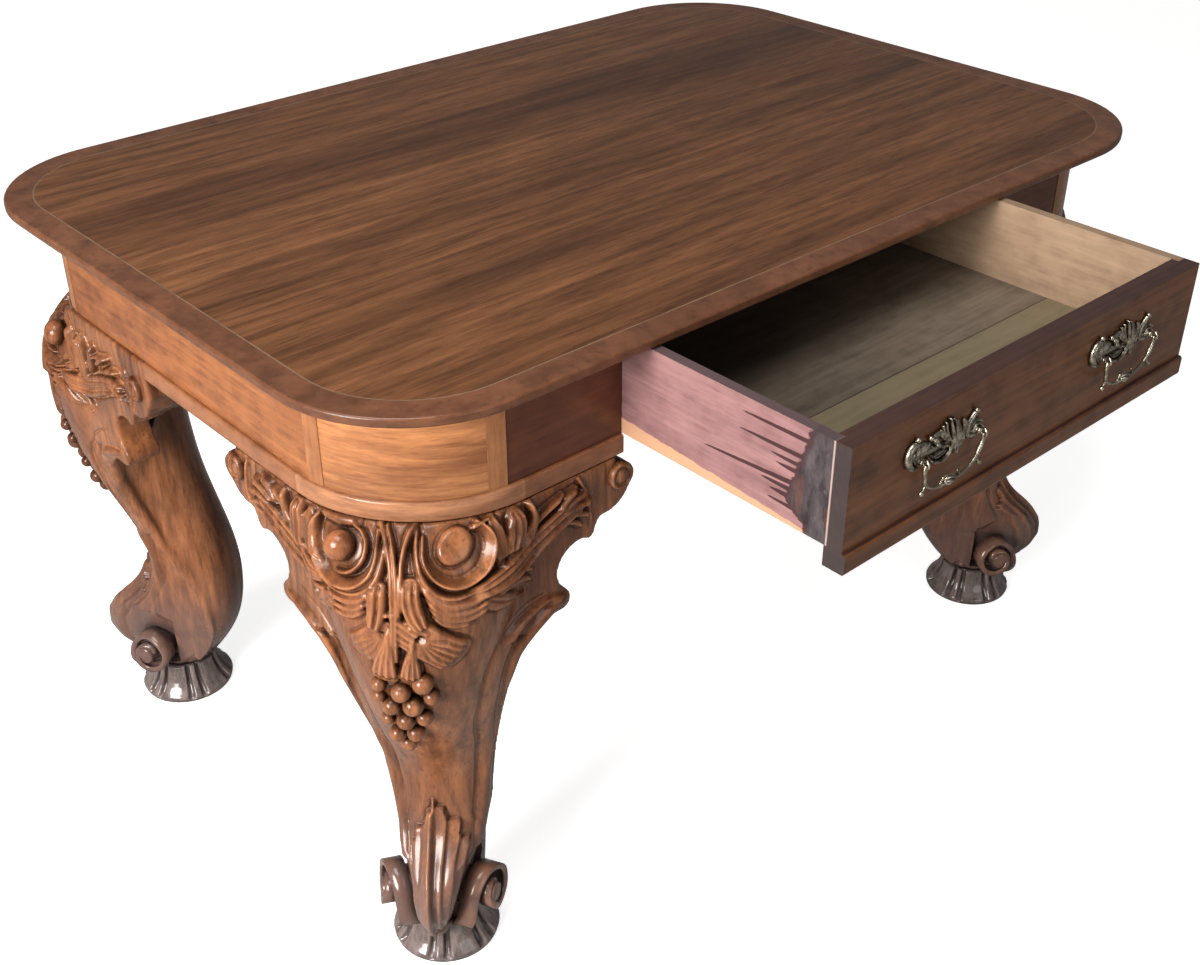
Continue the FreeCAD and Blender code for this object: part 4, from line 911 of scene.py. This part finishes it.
# knee ornament: shape, height, half widths along the line, and the line in w and z, each side as photographed
knee = {
    "hollows": [
        ("soft", -6, (11, 6, 2), [(-6, 616), (-6, 596), (-4, 578)]),
        ("soft", -6, (2, 3, 2), [(-1, 582), (0, 545), (2, 500)]),
        ("soft", -6, (3, 3.5, 3), [(-38, 560), (-26, 578), (-13, 566)]),
        ("soft", -4, (3, 3, 2), [(2, 584), (10, 582), (19, 566)]),
        ("soft", -3, (30, 26, 12), [(-8, 440), (-8, 400), (-12, 345)]),
    ],
    "discs": [(-6, 24, 46, 592, 0.82), (9, 17, 46.5, 594, 0.92), (-4, 24, -61, 588, 0.85)],
    "forms": [
        ("round", 8, (3.2, 2.8, 2.2), [(-24, 613), (-18, 601), (-13, 586), (-11, 570), (-11, 541),
         (-11, 493)]),
        ("round", 10, (2.0, 2.4, 2.0), [(-17, 611), (-11, 598), (-7, 579), (-6, 551), (-8, 506),
         (-10, 480)]),
        ("round", 10, (3.0, 2.6, 2.2), [(10, 614), (3, 602), (-1, 587), (-2, 570), (-4, 530)]),
        ("crease", 11, (9, 10.5, 9.5, 6), [(-24, 563), (-25, 548), (-27, 532), (-30, 518)]),
        ("reeds3", 13, (9, 10.5, 10, 6), [(7, 568), (7, 552), (11, 536), (18, 521)]),
        ("lipRight", 13, (2.6, 4.2, 5, 5, 3.4), [(18, 603), (20, 587), (28, 574), (40, 565), (53, 562),
         (65, 565), (73, 571), (77, 582), (77, 593), (73, 602), (66, 609)]),
        ("soft", 7, (3, 6, 7, 5, 3), [(11, 612), (12, 592), (18, 571), (30, 556), (46, 549), (64, 550),
         (78, 557)]),
        ("round", 7, (3, 2.4, 1.4), [(61, 606), (68, 607), (78, 611)]),
        ("round", 7.5, (3.4, 5, 5, 3.4), [(17, 566), (28, 552), (42, 542), (62, 540), (80, 545)]),
        ("round", 6.8, (3.0, 4.4, 4.4, 3.2), [(22, 553), (32, 541), (46, 533.5), (64, 531.5), (80, 537)]),
        ("round", 6, (2.8, 4.2, 4.2, 3), [(25, 543), (35, 532.5), (49, 526), (64, 524), (78, 529)]),
        ("round", 5, (2.6, 4, 3.8, 2.4), [(28, 534), (38, 524), (50, 518), (62, 517)]),
        ("reeds3", 10, (4, 9, 11, 11, 10, 8), [(60, 549), (78, 551), (96, 555), (112, 562), (128, 571),
         (145, 580), (160, 585)]),
        ("round", 10, (3, 4.4, 4, 3), [(62, 543), (80, 543), (98, 543), (111, 546), (125, 557), (140, 566),
         (154, 574), (166, 577)]),
        ("round", 9, (2.6, 3.6, 3.2, 2), [(88, 570), (100, 576), (112, 583), (126, 592), (144, 601)]),
        ("reeds3", 12, (6, 9, 8, 3), [(100, 607), (100, 588), (98, 576), (95, 568)]),
        ("round", 10, (4.6, 5.5, 3.6, 1.8), [(104, 565), (111, 576), (116, 593), (112, 613)]),
        ("tongue", 11, (3.4, 6.5, 6.5, 3), [(88, 566), (85, 584), (82, 598), (78, 612)]),
        ("round", 6, (3, 4, 2), [(86, 536), (99, 534), (112, 518)]),
        ("round", 6, (3, 3.6, 1.6), [(92, 539), (103, 541), (114, 529)]),
        ("keel", 6, (1.4, 3.8, 1.4), [(98, 550), (109, 548), (123, 551)]),
        ("crease", 5, (3, 9, 3), [(74, 538), (85, 526), (99, 513)]),
        ("round", 9, (3, 4.6, 3), [(139, 584), (146, 594), (156, 601)]),
        ("round", 9, (3, 4.6, 3), [(141, 581), (153, 589), (165, 592)]),
        ("round", 9, (3, 4.6, 3), [(142, 577), (156, 580), (170, 578)]),
        ("round", 8, (3, 4.2, 2.6), [(143, 573), (156, 571), (168, 563)]),
        ("round", 7, (2.4, 3.6, 2), [(144, 568), (154, 562), (161, 553)]),
        ("lipLeft", 12, (3, 5, 6, 5, 3), [(-27, 606), (-27, 588), (-33, 573), (-46, 562), (-61, 557),
         (-75, 558), (-85, 565), (-90, 577), (-90, 592)]),
        ("rope", 9, (1.6, 2.4, 2.6, 1.8), [(-50, 607), (-41, 604), (-36, 596), (-38, 584), (-46, 574),
         (-56, 568), (-68, 566)]),
        ("soft", 7, (3, 6, 7, 5, 3), [(-18, 606), (-20, 586), (-27, 567), (-42, 553), (-60, 548),
         (-76, 549), (-90, 556)]),
        ("round", 7, (6, 9, 6), [(-84, 612), (-66, 613), (-46, 613)]),
        ("reeds3", 10, (7, 9, 10, 10, 8, 4), [(-170, 579), (-152, 573), (-136, 564), (-120, 555),
         (-104, 548), (-86, 549)]),
        ("round", 10, (2.6, 4.4, 5, 4), [(-176, 569), (-159, 563), (-143, 555), (-126, 543), (-109, 536),
         (-90, 543)]),
        ("round", 9, (2, 3.4, 3.4, 2.4), [(-146, 603), (-132, 595), (-124, 582), (-114, 568), (-102, 557)]),
        ("reeds3", 12, (5, 9, 8, 4), [(-111, 610), (-112, 588), (-113, 568), (-109, 554)]),
        ("tongue", 11, (4, 6.5, 6, 3), [(-97, 607), (-101, 584), (-99, 567), (-91, 560)]),
        ("round", 10, (2.4, 4.6, 5, 3), [(-86, 612), (-93, 592), (-92, 576), (-84, 564)]),
        ("round", 9, (3, 4.6, 2.4), [(-127, 572), (-129, 591), (-131, 609)]),
        ("round", 9, (2.6, 4.4, 3), [(-140, 590), (-149, 601), (-158, 607)]),
        ("round", 9, (2.6, 4.4, 3), [(-146, 585), (-160, 592), (-172, 596)]),
        ("round", 9, (2.6, 4.4, 3), [(-150, 580), (-165, 582), (-180, 580)]),
        ("round", 8, (2.6, 4, 2.4), [(-150, 574), (-166, 571), (-180, 563)]),
        ("round", 6, (2, 3.6, 2), [(-86, 535), (-99, 531), (-112, 516)]),
        ("round", 6, (2, 3.2, 1.6), [(-93, 540), (-105, 541), (-117, 530)]),
        ("crease", 4.5, (3, 9, 3), [(-72, 540), (-82, 527), (-96, 511)]),
        ("round", 7, (3, 4.6, 3), [(-32, 556), (-44, 545), (-60, 540), (-78, 541)]),
        ("round", 6, (3, 4.2, 3), [(-36, 544), (-48, 535), (-63, 531), (-79, 533)]),
        ("round", 5, (2.6, 4, 2.6), [(-40, 534), (-52, 526), (-66, 523), (-78, 525)]),
        ("reeds4", 9, (2, 6, 11, 15), [(-15, 524), (-18, 500), (-22, 478), (-25, 454)]),
        ("reeds4", 11, (1.8, 4.5, 9, 12), [(7, 514), (5, 495), (3, 475), (1, 456)]),
        ("reeds6", 10, (3, 11, 20, 21), [(15, 511), (24, 501), (38, 488), (46, 481)]),
        ("reeds5", 4.5, (3, 9, 17, 18), [(-22, 511), (-31, 503), (-43, 491), (-50, 485)]),
        ("round", 2.4, (1.6, 2.2, 1.4), [(160, 610), (166, 589), (170, 567), (172, 548)]),
        ("round", 2.4, (1.6, 2.2, 1.4), [(-184, 608), (-188, 590), (-189, 570), (-186, 556)]),
        ("soft", 6, (5, 11, 11, 9, 8, 7, 6), [(142, 474), (128, 478), (114, 474), (101, 465), (91, 452),
         (84, 434), (77, 410), (71, 380), (65, 345), (61, 304), (57, 261), (53, 226), (49, 173),
         (45, 132)]),
        ("soft", 6, (5, 12, 12, 10, 9, 8, 7), [(-145, 470), (-131, 464), (-114, 453), (-99, 436),
         (-87, 412), (-78, 378), (-71, 347), (-63, 310), (-51, 285), (-49, 247), (-44, 212), (-39, 185),
         (-36, 150)]),
    ],
    "grooves": [
        (3.2, 3.0, [(126, 490), (112, 488), (100, 480), (88, 468), (78, 450), (71, 431), (65, 408),
         (60, 380), (54, 346), (51, 304), (47, 262), (44, 226), (41, 190)]),
        (3.2, 3.0, [(-126, 492), (-110, 482), (-94, 466), (-81, 446), (-71, 424), (-63, 396), (-56, 364),
         (-50, 325), (-41, 290), (-39, 250), (-35, 214)]),
    ],
    "grapes": [(-32, 443, 7.5), (-34, 424, 7), (-10, 438, 10), (12, 452, 10.5), (19, 430, 8.5),
        (-22, 413, 9.5), (0, 418, 10.5), (-29, 386, 7), (-10, 390, 9.5), (9, 396, 8.5), (-22, 360, 9),
        (-3, 366, 9), (-13, 342, 8.5)],
    "grape": {"size": 1.08, "lift": 0.35, "long": 1.05, "axis": (1, 0, -0.3)},
    "leftBall": {"spot": (-62, 589), "lift": 5, "radius": 16.5, "height": 15},
    "wingButton": {
        "spot": (200, 591), "outline": [(15.5, -12), (15.5, 4), (14.6, 6.2), (12.6, 6.6), (11.4, 4.6),
        (9.6, 4.0), (8.4, 5.6), (5, 6.8), (0.6, 7.2)],
    },
}

# foot: a pleated leaf with a keel runs down to a blunt nose, and a ram's horn stands at each side. The horn's
# ribbon has rows of out, sideways, up and half its width, and its section is in shares of width and thickness
foot = {
    "pleats": [
        [(-9, 66, 0), (-15, 80, -1), (-20, 110, -1), (-26, 150, -1), (-27, 170, 0)],
        [(-7, 66, 2), (-12, 80, 4), (-16, 110, 5), (-21, 150, 5), (-22, 186, 5)],
        [(-5, 66, 4), (-8, 80, 6), (-10, 110, 6), (-13, 150, 5), (-14, 190, 4)],
        [(-3, 65, 6), (-5, 80, 9), (-7, 110, 11), (-10, 150, 10), (-11, 190, 8), (-8, 207, 6)],
        [(1.5, 63, 10), (0, 80, 15), (-1, 110, 17), (-3, 150, 16), (-4, 190, 13), (-2, 227, 8)],
        [(3.5, 64, 2), (3.5, 80, 5), (3, 110, 5), (1, 150, 5), (1, 190, 4), (1, 222, 4)],
        [(6, 65, 3), (7, 80, 7), (8, 110, 8.5), (9.5, 150, 9), (12, 190, 8), (10, 213, 6)],
        [(7, 65, 1), (8, 80, 2), (10, 110, 3), (12, 150, 3), (14, 190, 3), (13, 203, 3)],
        [(9, 66, 2), (11, 80, 5), (15, 110, 7), (21, 150, 7.5), (27, 185, 6), (27, 194, 4)],
        [(10, 66, 0), (12, 80, 1), (17, 110, 2), (24, 150, 2.5), (29, 177, 3)],
        [(12, 67, 0), (15, 80, 3), (22, 110, 4.5), (31, 150, 5), (38, 172, 3.5)],
        [(13, 68, -2), (17, 80, -2), (25, 110, -1), (34, 150, -1), (41, 166, 0)],
    ],
    "nose": {"spot": (50, 0.5, 59), "axis": (1, 0, -0.55), "radius": 13.5, "long": 17},
    "ribbon": [(30, 16, 50, 8), (46, 26, 54, 10), (53, 33, 66, 11), (51, 37, 84, 10.5), (42, 41, 103, 10.5),
        (24, 50, 116, 11), (7, 59, 109, 11), (-1, 64, 93, 10.5), (6, 65, 76, 10), (24, 62, 69, 9),
        (38, 59, 78, 8.5), (40, 55, 91, 7.5), (32, 56, 100, 7), (21, 58, 99, 6), (18, 61, 91, 5)],
    "eye": {
        "spot": (28, 55, 89), "axis": (0.3, 0.954), "outline": [(23, -36), (23, -12), (18, -6), (13, 4),
        (12.5, 11), (11, 13), (9, 12.2), (6.5, 13.8), (0.5, 14.4)],
    },
    "thick": 8.5,
    "section": [(-1, -0.5), (-1, 0.15), (-0.9, 0.42), (-0.72, 0.42), (-0.5, 0.2), (0, 0.05), (0.5, 0.2),
        (0.72, 0.42), (0.9, 0.42), (1, 0.15), (1, -0.5), (0, -0.5)],
}


def horn(carving, sign):
    # a hollow ribbon that starts beside the nose, climbs back and outward and rolls up round a turned eye
    row = foot
    path = smoothRows(row["ribbon"], 130)
    path[:, 1] *= sign
    eye = row["eye"]
    axis = np.array([eye["axis"][0], sign * eye["axis"][1], 0.0])
    centre = np.array(eye["spot"], dtype=float) * (1, sign, 1)
    run = unit(np.gradient(path[:, :3], axis=0))
    outward = unit(np.cross(run, np.tile(axis, (len(run), 1)))) * sign
    width = unit(np.cross(outward, run)) * sign
    rings = []
    thick = row["thick"]
    for spot, across, out, half in zip(path[:, :3], width, outward, path[:, 3]):
        ring = []
        for x, y in row["section"]:
            ring.append(spot + across * (x * half) + out * (y * thick))
        rings.append(ring)
    carving.loops(rings)
    turned(carving, centre, axis, eye["outline"], 30)


def carveOrnament(skin):
    # the relief, and the forms that stand free of it
    relief = Relief()
    for row in knee["hollows"]:
        relief.stroke(*row)
    for row in knee["discs"]:
        relief.disc(*row)
    for row in knee["forms"]:
        relief.stroke(*row)
    relief.pleats(foot["pleats"])
    relief.settle()
    for depth, half, line in knee["grooves"]:
        relief.groove(depth, half, line)
    carving = Carving()
    row = knee["grape"]
    for w, z, size in knee["grapes"]:
        radius = size * row["size"]
        place = skin.spot(w, z) + skin.facing(w, z)[0] * radius * row["lift"]
        ball(carving, place, row["axis"], radius, radius * row["long"])
    row = knee["leftBall"]
    place = skin.spot(*row["spot"]) + skin.facing(*row["spot"])[0] * row["lift"]
    ball(carving, place, (1, 0, 0), row["radius"], row["height"], 16, 32)
    for sign in (-1, 1):
        w, z = knee["wingButton"]["spot"]
        level = np.array([1, sign, 0]) / math.sqrt(2)
        turned(carving, skin.spot(sign * w, z), level, knee["wingButton"]["outline"], 36)
        horn(carving, sign)
    nose = foot["nose"]
    ball(carving, nose["spot"], nose["axis"], nose["radius"], nose["long"], 14, 28)
    return relief, carving


def carved(points, skin, relief):
    # the skin's front moves out or in by the relief
    s, w, z = (points / mm).T
    ways = skin.facing(w, z)
    front = np.abs(s - skin.sample(skin.depth, w, z)) < field["frontDepth"]
    amount = relief.sample(relief.high, w, z) * front * mm
    return points + ways * amount[:, None]


def finishMesh(name, points, faces, look, body, location=(0, 0, 0)):
    mesh = bpy.data.meshes.new(name)
    mesh.from_pydata([tuple(point) for point in points], [], [tuple(face) for face in faces])
    mesh.validate()
    mesh.materials.append(looks[look])
    mesh.shade_smooth()
    piece = newObject(name, mesh)
    piece.location = location
    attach(piece, body)
    return piece


def makeLegs():
    for row in ("front", "back"):
        points, faces = meltedLeg(row + "_left")
        skin = Skin(points, faces)
        relief, carving = carveOrnament(skin)
        wood = carved(points, skin, relief)
        free = np.array(carving.points) * mm
        print("carved", row, "leg:", len(faces), "wood faces,", len(carving.faces), "carving faces")
        for side in ("left", "right"):
            name = row + "_" + side
            centre, _, _, handed = legFrame(name)
            other = handed != legFrame(row + "_left")[3]
            woodFaces = [face[::-1] for face in faces] if other else faces
            cutFaces = carving.faces if handed else [face[::-1] for face in carving.faces]
            leg = finishMesh("carvedLeg_" + name, fromLeg(wood, name), woodFaces, "carvedWalnut",
                             "desk", centre)
            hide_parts("leg_" + name, "wing_" + name + "_face", "wing_" + name + "_side")
            finishMesh("carving_" + name, fromLeg(free, name), cutFaces, "carvedWalnut",
                       "desk", centre)


# pads: turned, with pairs of deep flutes

# the profile has rows of radius and height, and a flute's distance from its pair's middle and its width are
# in degrees
padShape = {
    "profile": ((0, 0), (58.5, 0), (62.2, 2.4), (63.4, 6.5), (62.0, 10.0), (58.2, 14.5), (53.6, 20.5),
        (49.4, 28), (46.2, 36), (44.4, 44), (44.0, 49.8), (0, 49.8)),
    "around": 288,
    "pairs": 6,
    "apart": 9.0,
    "wide": 4.0,
    "deep": 7.0,
    "from": 5.0,
    "fade": 5,
    "flutedFrom": 40,
    "steps": 5,
}


def makePads():
    rows = []
    for (r0, z0), (r1, z1) in zip(padShape["profile"], padShape["profile"][1:]):
        for share in np.linspace(0, 1, padShape["steps"], endpoint=False):
            rows.append((r0 + (r1 - r0) * share, z0 + (z1 - z0) * share))
    rows.append(padShape["profile"][-1])
    rows = rows[1:-1]
    turns = np.linspace(0, 360, padShape["around"], endpoint=False)
    angle = np.radians(turns)
    step = 360 / padShape["pairs"]
    for name in corners:
        centre, out, _, _ = legFrame(name)
        ahead = math.degrees(math.atan2(out[1], out[0]))
        off = (turns - ahead + step / 2) % step - step / 2
        flutes = (-padShape["apart"], padShape["apart"])
        cut = sum(np.exp(-((off - flute) / padShape["wide"]) ** 4) for flute in flutes)
        carving = Carving()
        rings = []
        for r, z in rows:
            fade = np.clip((z - padShape["from"]) / padShape["fade"], 0, 1)
            if r <= padShape["flutedFrom"]:
                fade = 0
            far = (r - padShape["deep"] * fade * cut) * mm
            level = np.full(len(turns), z * mm)
            rings.append(np.stack([far * np.cos(angle), far * np.sin(angle), level], axis=1))
        carving.loops(rings)
        pad = finishMesh("flutedPad_" + name, carving.points, carving.faces, "padWalnut",
                         "desk", centre)
        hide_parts("foot_" + name)


# handles: pierced cast plates, posts with rings, and drop bails

# places in millimetres, along the drawer front and up from the posts' level
handle = {
    "level": 698,
    "front": -680.5,
    "swing": -693.5,
    "posts": (-44, 44),
    "middle": {"left": -167.5, "right": 133.5},
    "scrolls": [
        (2.2, (4, 6, 5, 6, 4), [(-50, 4), (-25, 3), (0, -2), (25, 2), (48, -1)]),
        (6.5, (1.5, 4, 4.6, 3.4, 1.5), [(-46, 20), (-53, 19), (-58, 12), (-58, 2), (-53, -5), (-45, -7)]),
        (4.5, (1, 2, 1.4), [(-47, 17), (-44, 10), (-45, 2), (-49, -2)]),
        (3.0, (6, 7, 5), [(-46, 8), (-36, 9), (-26, 8)]),
        (3.6, (1.6, 2.2, 1), [(-48, 14), (-48.5, 19), (-48, 24)]),
        (5.0, (2, 3, 3, 2), [(-25, 15), (-14, 17.5), (-4, 13), (4, 4)]),
        (4.2, (1.6, 2, 1.6), [(-24, 6), (-13, 3), (-4, 0), (4, -3)]),
        (5.4, (1.0, 2, 2.2, 1.2), [(-28, -4), (-19, -12), (-7, -15), (3, -12), (7, -4), (6, 4)]),
        (3.4, (0.8, 1.4, 0.8), [(-24, -3), (-15, -9), (-6, -9), (1, -6)]),
        (5.0, (0.6, 2.2, 0.6), [(-20, -5), (-12, -4), (-5, -3)]),
        (6.0, (2, 3, 2.2, 0.7), [(13, -13), (10, 0), (5, 14), (0, 25), (-1.4, 29)]),
        (4.6, (1.4, 2.2, 0.8), [(6, 2), (-2, 14), (-6, 26)]),
        (4.4, (1.4, 2.2, 0.8), [(3, 3), (-6, 13), (-10.5, 24)]),
        (4.0, (1.4, 2.2, 0.8), [(0, 4), (-9, 12), (-15, 20)]),
        (5.0, (2, 3, 1.2), [(14, -11), (15, 6), (10, 20), (5, 26)]),
        (4.4, (2, 3, 1.2), [(17, -16), (19, -2), (18, 10), (12, 21)]),
        (3.6, (3, 5, 4.4, 2), [(21, -13), (26, 0), (28, 10), (23, 18)]),
        (5.0, (2, 4, 3, 1), [(30, -3), (33, 8), (37, 15), (41, 21)]),
        (4.4, (1.4, 2.6, 1), [(35, 4), (45, 9), (55, 4)]),
        (5.6, (0.9, 1.6, 0.9), [(38, 0), (43, 5), (49, 4), (57, -4)]),
        (3.4, (2, 3, 2), [(33, -5), (44, -7), (55, -8)]),
    ],
    "knobs": [(-48, 24, 2.6), (-41.3, -0.5, 3.2), (-28.6, 18, 2.6), (-20.5, 12.5, 3.6), (-16, 6.5, 2.8),
        (41.4, 21.5, 2.8), (57, -4, 2.0)],
    "bail": [(-44, -1, 2.2), (-45, -8, 2.6), (-43.5, -16, 1.9), (-42, -22, 2.3), (-37, -27, 1.8),
        (-28, -31.5, 1.7), (-18, -33.5, 1.9), (-11, -33, 2.2), (-4, -32, 2.6), (4, -33, 2.2),
        (13, -33.5, 1.9), (22, -32, 1.7), (31, -28, 1.8), (36.5, -23, 2.0), (40.5, -16, 2.5),
        (43.5, -9, 2.0), (44, -1, 2.2)],
    "spurs": [
        [(-41, -23, 1.6), (-43.5, -27, 1.2), (-46, -30, 1.3)],
        [(37, -23, 1.6), (39, -28, 1.2), (42, -31.5, 1.3)],
        [(-18, -33, 1.4), (-16, -29, 1.1), (-14, -27.5, 1.4)],
        [(12, -33, 1.4), (10, -29.5, 1.1), (8.5, -28, 1.4)],
    ],
    "balls": [(-46.5, -30.5, 2.6), (42.5, -32, 2.6), (-14, -27, 1.9), (8.5, -27.5, 1.9), (38.5, -20, 1.8)],
    "knot": {"spot": (-4, -32), "half": 8.5, "radius": 3.6, "strands": 6, "twist": 0.7, "closing": 1.25,
             "thick": 1.9, "thinning": 1.1},
    "post": [(6.2, 0), (6.2, 1.6), (4.4, 3.4), (3.0, 5.2), (2.7, 7.2), (3.2, 8.6), (2.6, 9.6)],
    "hoop": {"shift": 0.7, "out": 13, "wide": 3.4, "high": 3.8, "radius": 1.5},
    "knobDepth": 3.6,
    "dome": [(-1, 0), (-0.96, 0.5), (-0.7, 0.86), (-0.3, 1.0), (0.3, 1.0), (0.7, 0.86), (0.96, 0.5),
        (1, 0)],
}


def bronzeBar(carving, height, halves, line, count=34):
    # a domed scroll lying on the drawer front
    path = smoothRows(line, count)
    half = np.interp(np.linspace(0, 1, count), np.linspace(0, 1, len(halves)), halves)
    run = unit(np.gradient(path, axis=0))
    rings = []
    for (x, z), (runX, runZ), wide in zip(path, run, half):
        ring = []
        for across, high in handle["dome"]:
            ring.append((x - runZ * wide * across, -high * height, z + runX * wide * across))
        rings.append(ring)
    carving.loops(rings)


def bentWire(rows, count):
    # the small lean in y keeps a run along x from being parallel to the tube's reference axis
    return smoothRows([(x, 0.001 * x, z, radius) for x, z, radius in rows], count)


def makeHandles():
    for side, middle in handle["middle"].items():
        plate = Carving()
        for height, halves, line in handle["scrolls"]:
            bronzeBar(plate, height, halves, line)
        for x, z, radius in handle["knobs"]:
            ball(plate, (x, -handle["knobDepth"], z), (0, -1, 0), radius, radius * 1.2, 10, 18)
        for x in handle["posts"]:
            turned(plate, (x, 0, 0), (0, -1, 0), handle["post"], 20)
            row = handle["hoop"]
            hoop = [(x + row["shift"] * math.cos(a), row["wide"] * math.cos(a) - row["out"],
                     row["high"] * math.sin(a), row["radius"]) for a in np.linspace(0, 2 * math.pi, 37)]
            tube(plate, np.array(hoop), 10)
        place = (middle * mm, handle["front"] * mm, handle["level"] * mm)
        piece = finishMesh("castPlate_" + side, np.array(plate.points) * mm, plate.faces, "oldBrass",
                           "drawer", place)
        if side == "left":
            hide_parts("pull_plate_left", "pull_posts")
        else:
            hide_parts("pull_plate_right")
        bail = Carving()
        tube(bail, bentWire(handle["bail"], 150), 12)
        for row in handle["spurs"]:
            tube(bail, bentWire(row, 12), 10)
        for x, z, radius in handle["balls"]:
            ball(bail, (x, 0, z), (0, -1, 0), radius, radius, 10, 16)
        knot = handle["knot"]
        for index in range(knot["strands"]):
            start = 2 * math.pi * index / knot["strands"]
            strand = []
            for share in np.linspace(-1, 1, 15):
                a = start + knot["twist"] * share
                reach = knot["radius"] * math.cos(share * knot["closing"])
                thick = knot["thick"] * math.cos(share * knot["thinning"])
                strand.append((knot["spot"][0] + knot["half"] * share, reach * math.cos(a),
                               knot["spot"][1] + reach * math.sin(a), thick))
            tube(bail, np.array(strand), 10)
        place = (middle * mm, handle["swing"] * mm, handle["level"] * mm)
        piece = finishMesh("castBail_" + side, np.array(bail.points) * mm, bail.faces, "oldBrass",
                           "bail_" + side, place)
        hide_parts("bail_" + side)


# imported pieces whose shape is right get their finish, by the start of their name
finish = {
    "top_field": "topWalnut", "top_stringing": "stringing", "top_border": "borderWalnut",
    "apron_stiles": "stileWalnut", "apron": "apronWalnut", "apron_front": "frontWalnutPaintedShade",
    "corner_panel": "cornerWalnutPaintedLight", "band": "bandWalnut", "band_corner": "cornerBandPaintedLight",
    "corner_blocks": "innerWood", "glue_blocks": "innerWood", "drawer_cheek": "innerWood",
    "runner": "innerWood", "drawer_stops": "innerWood",
    "drawer_front": "drawerWalnut", "drawer_base_strip": "drawerWalnut",
    "drawer_side_left": "mauveSide", "drawer_side_right": "drawerLining", "drawer_back": "drawerLining",
    "drawer_bottom": "floorBoards",
}


def dressNodes():
    for name, thing in nodes.items():
        keys = [key for key in finish if name.startswith(key)]
        if not keys:
            continue
        look = looks[finish[max(keys, key=len)]]
        for slot in thing.material_slots:
            slot.material = look


makeCamera()
for name, row in studio.items():
    makeLight(name + "Light", row)
makeWorld()
makeFloor()
dressNodes()
print("frame dressed")
makeLegs()
makePads()
print("legs and pads done")
makeHandles()
print("handles done")

bpy.context.scene.view_settings.view_transform = "Standard"
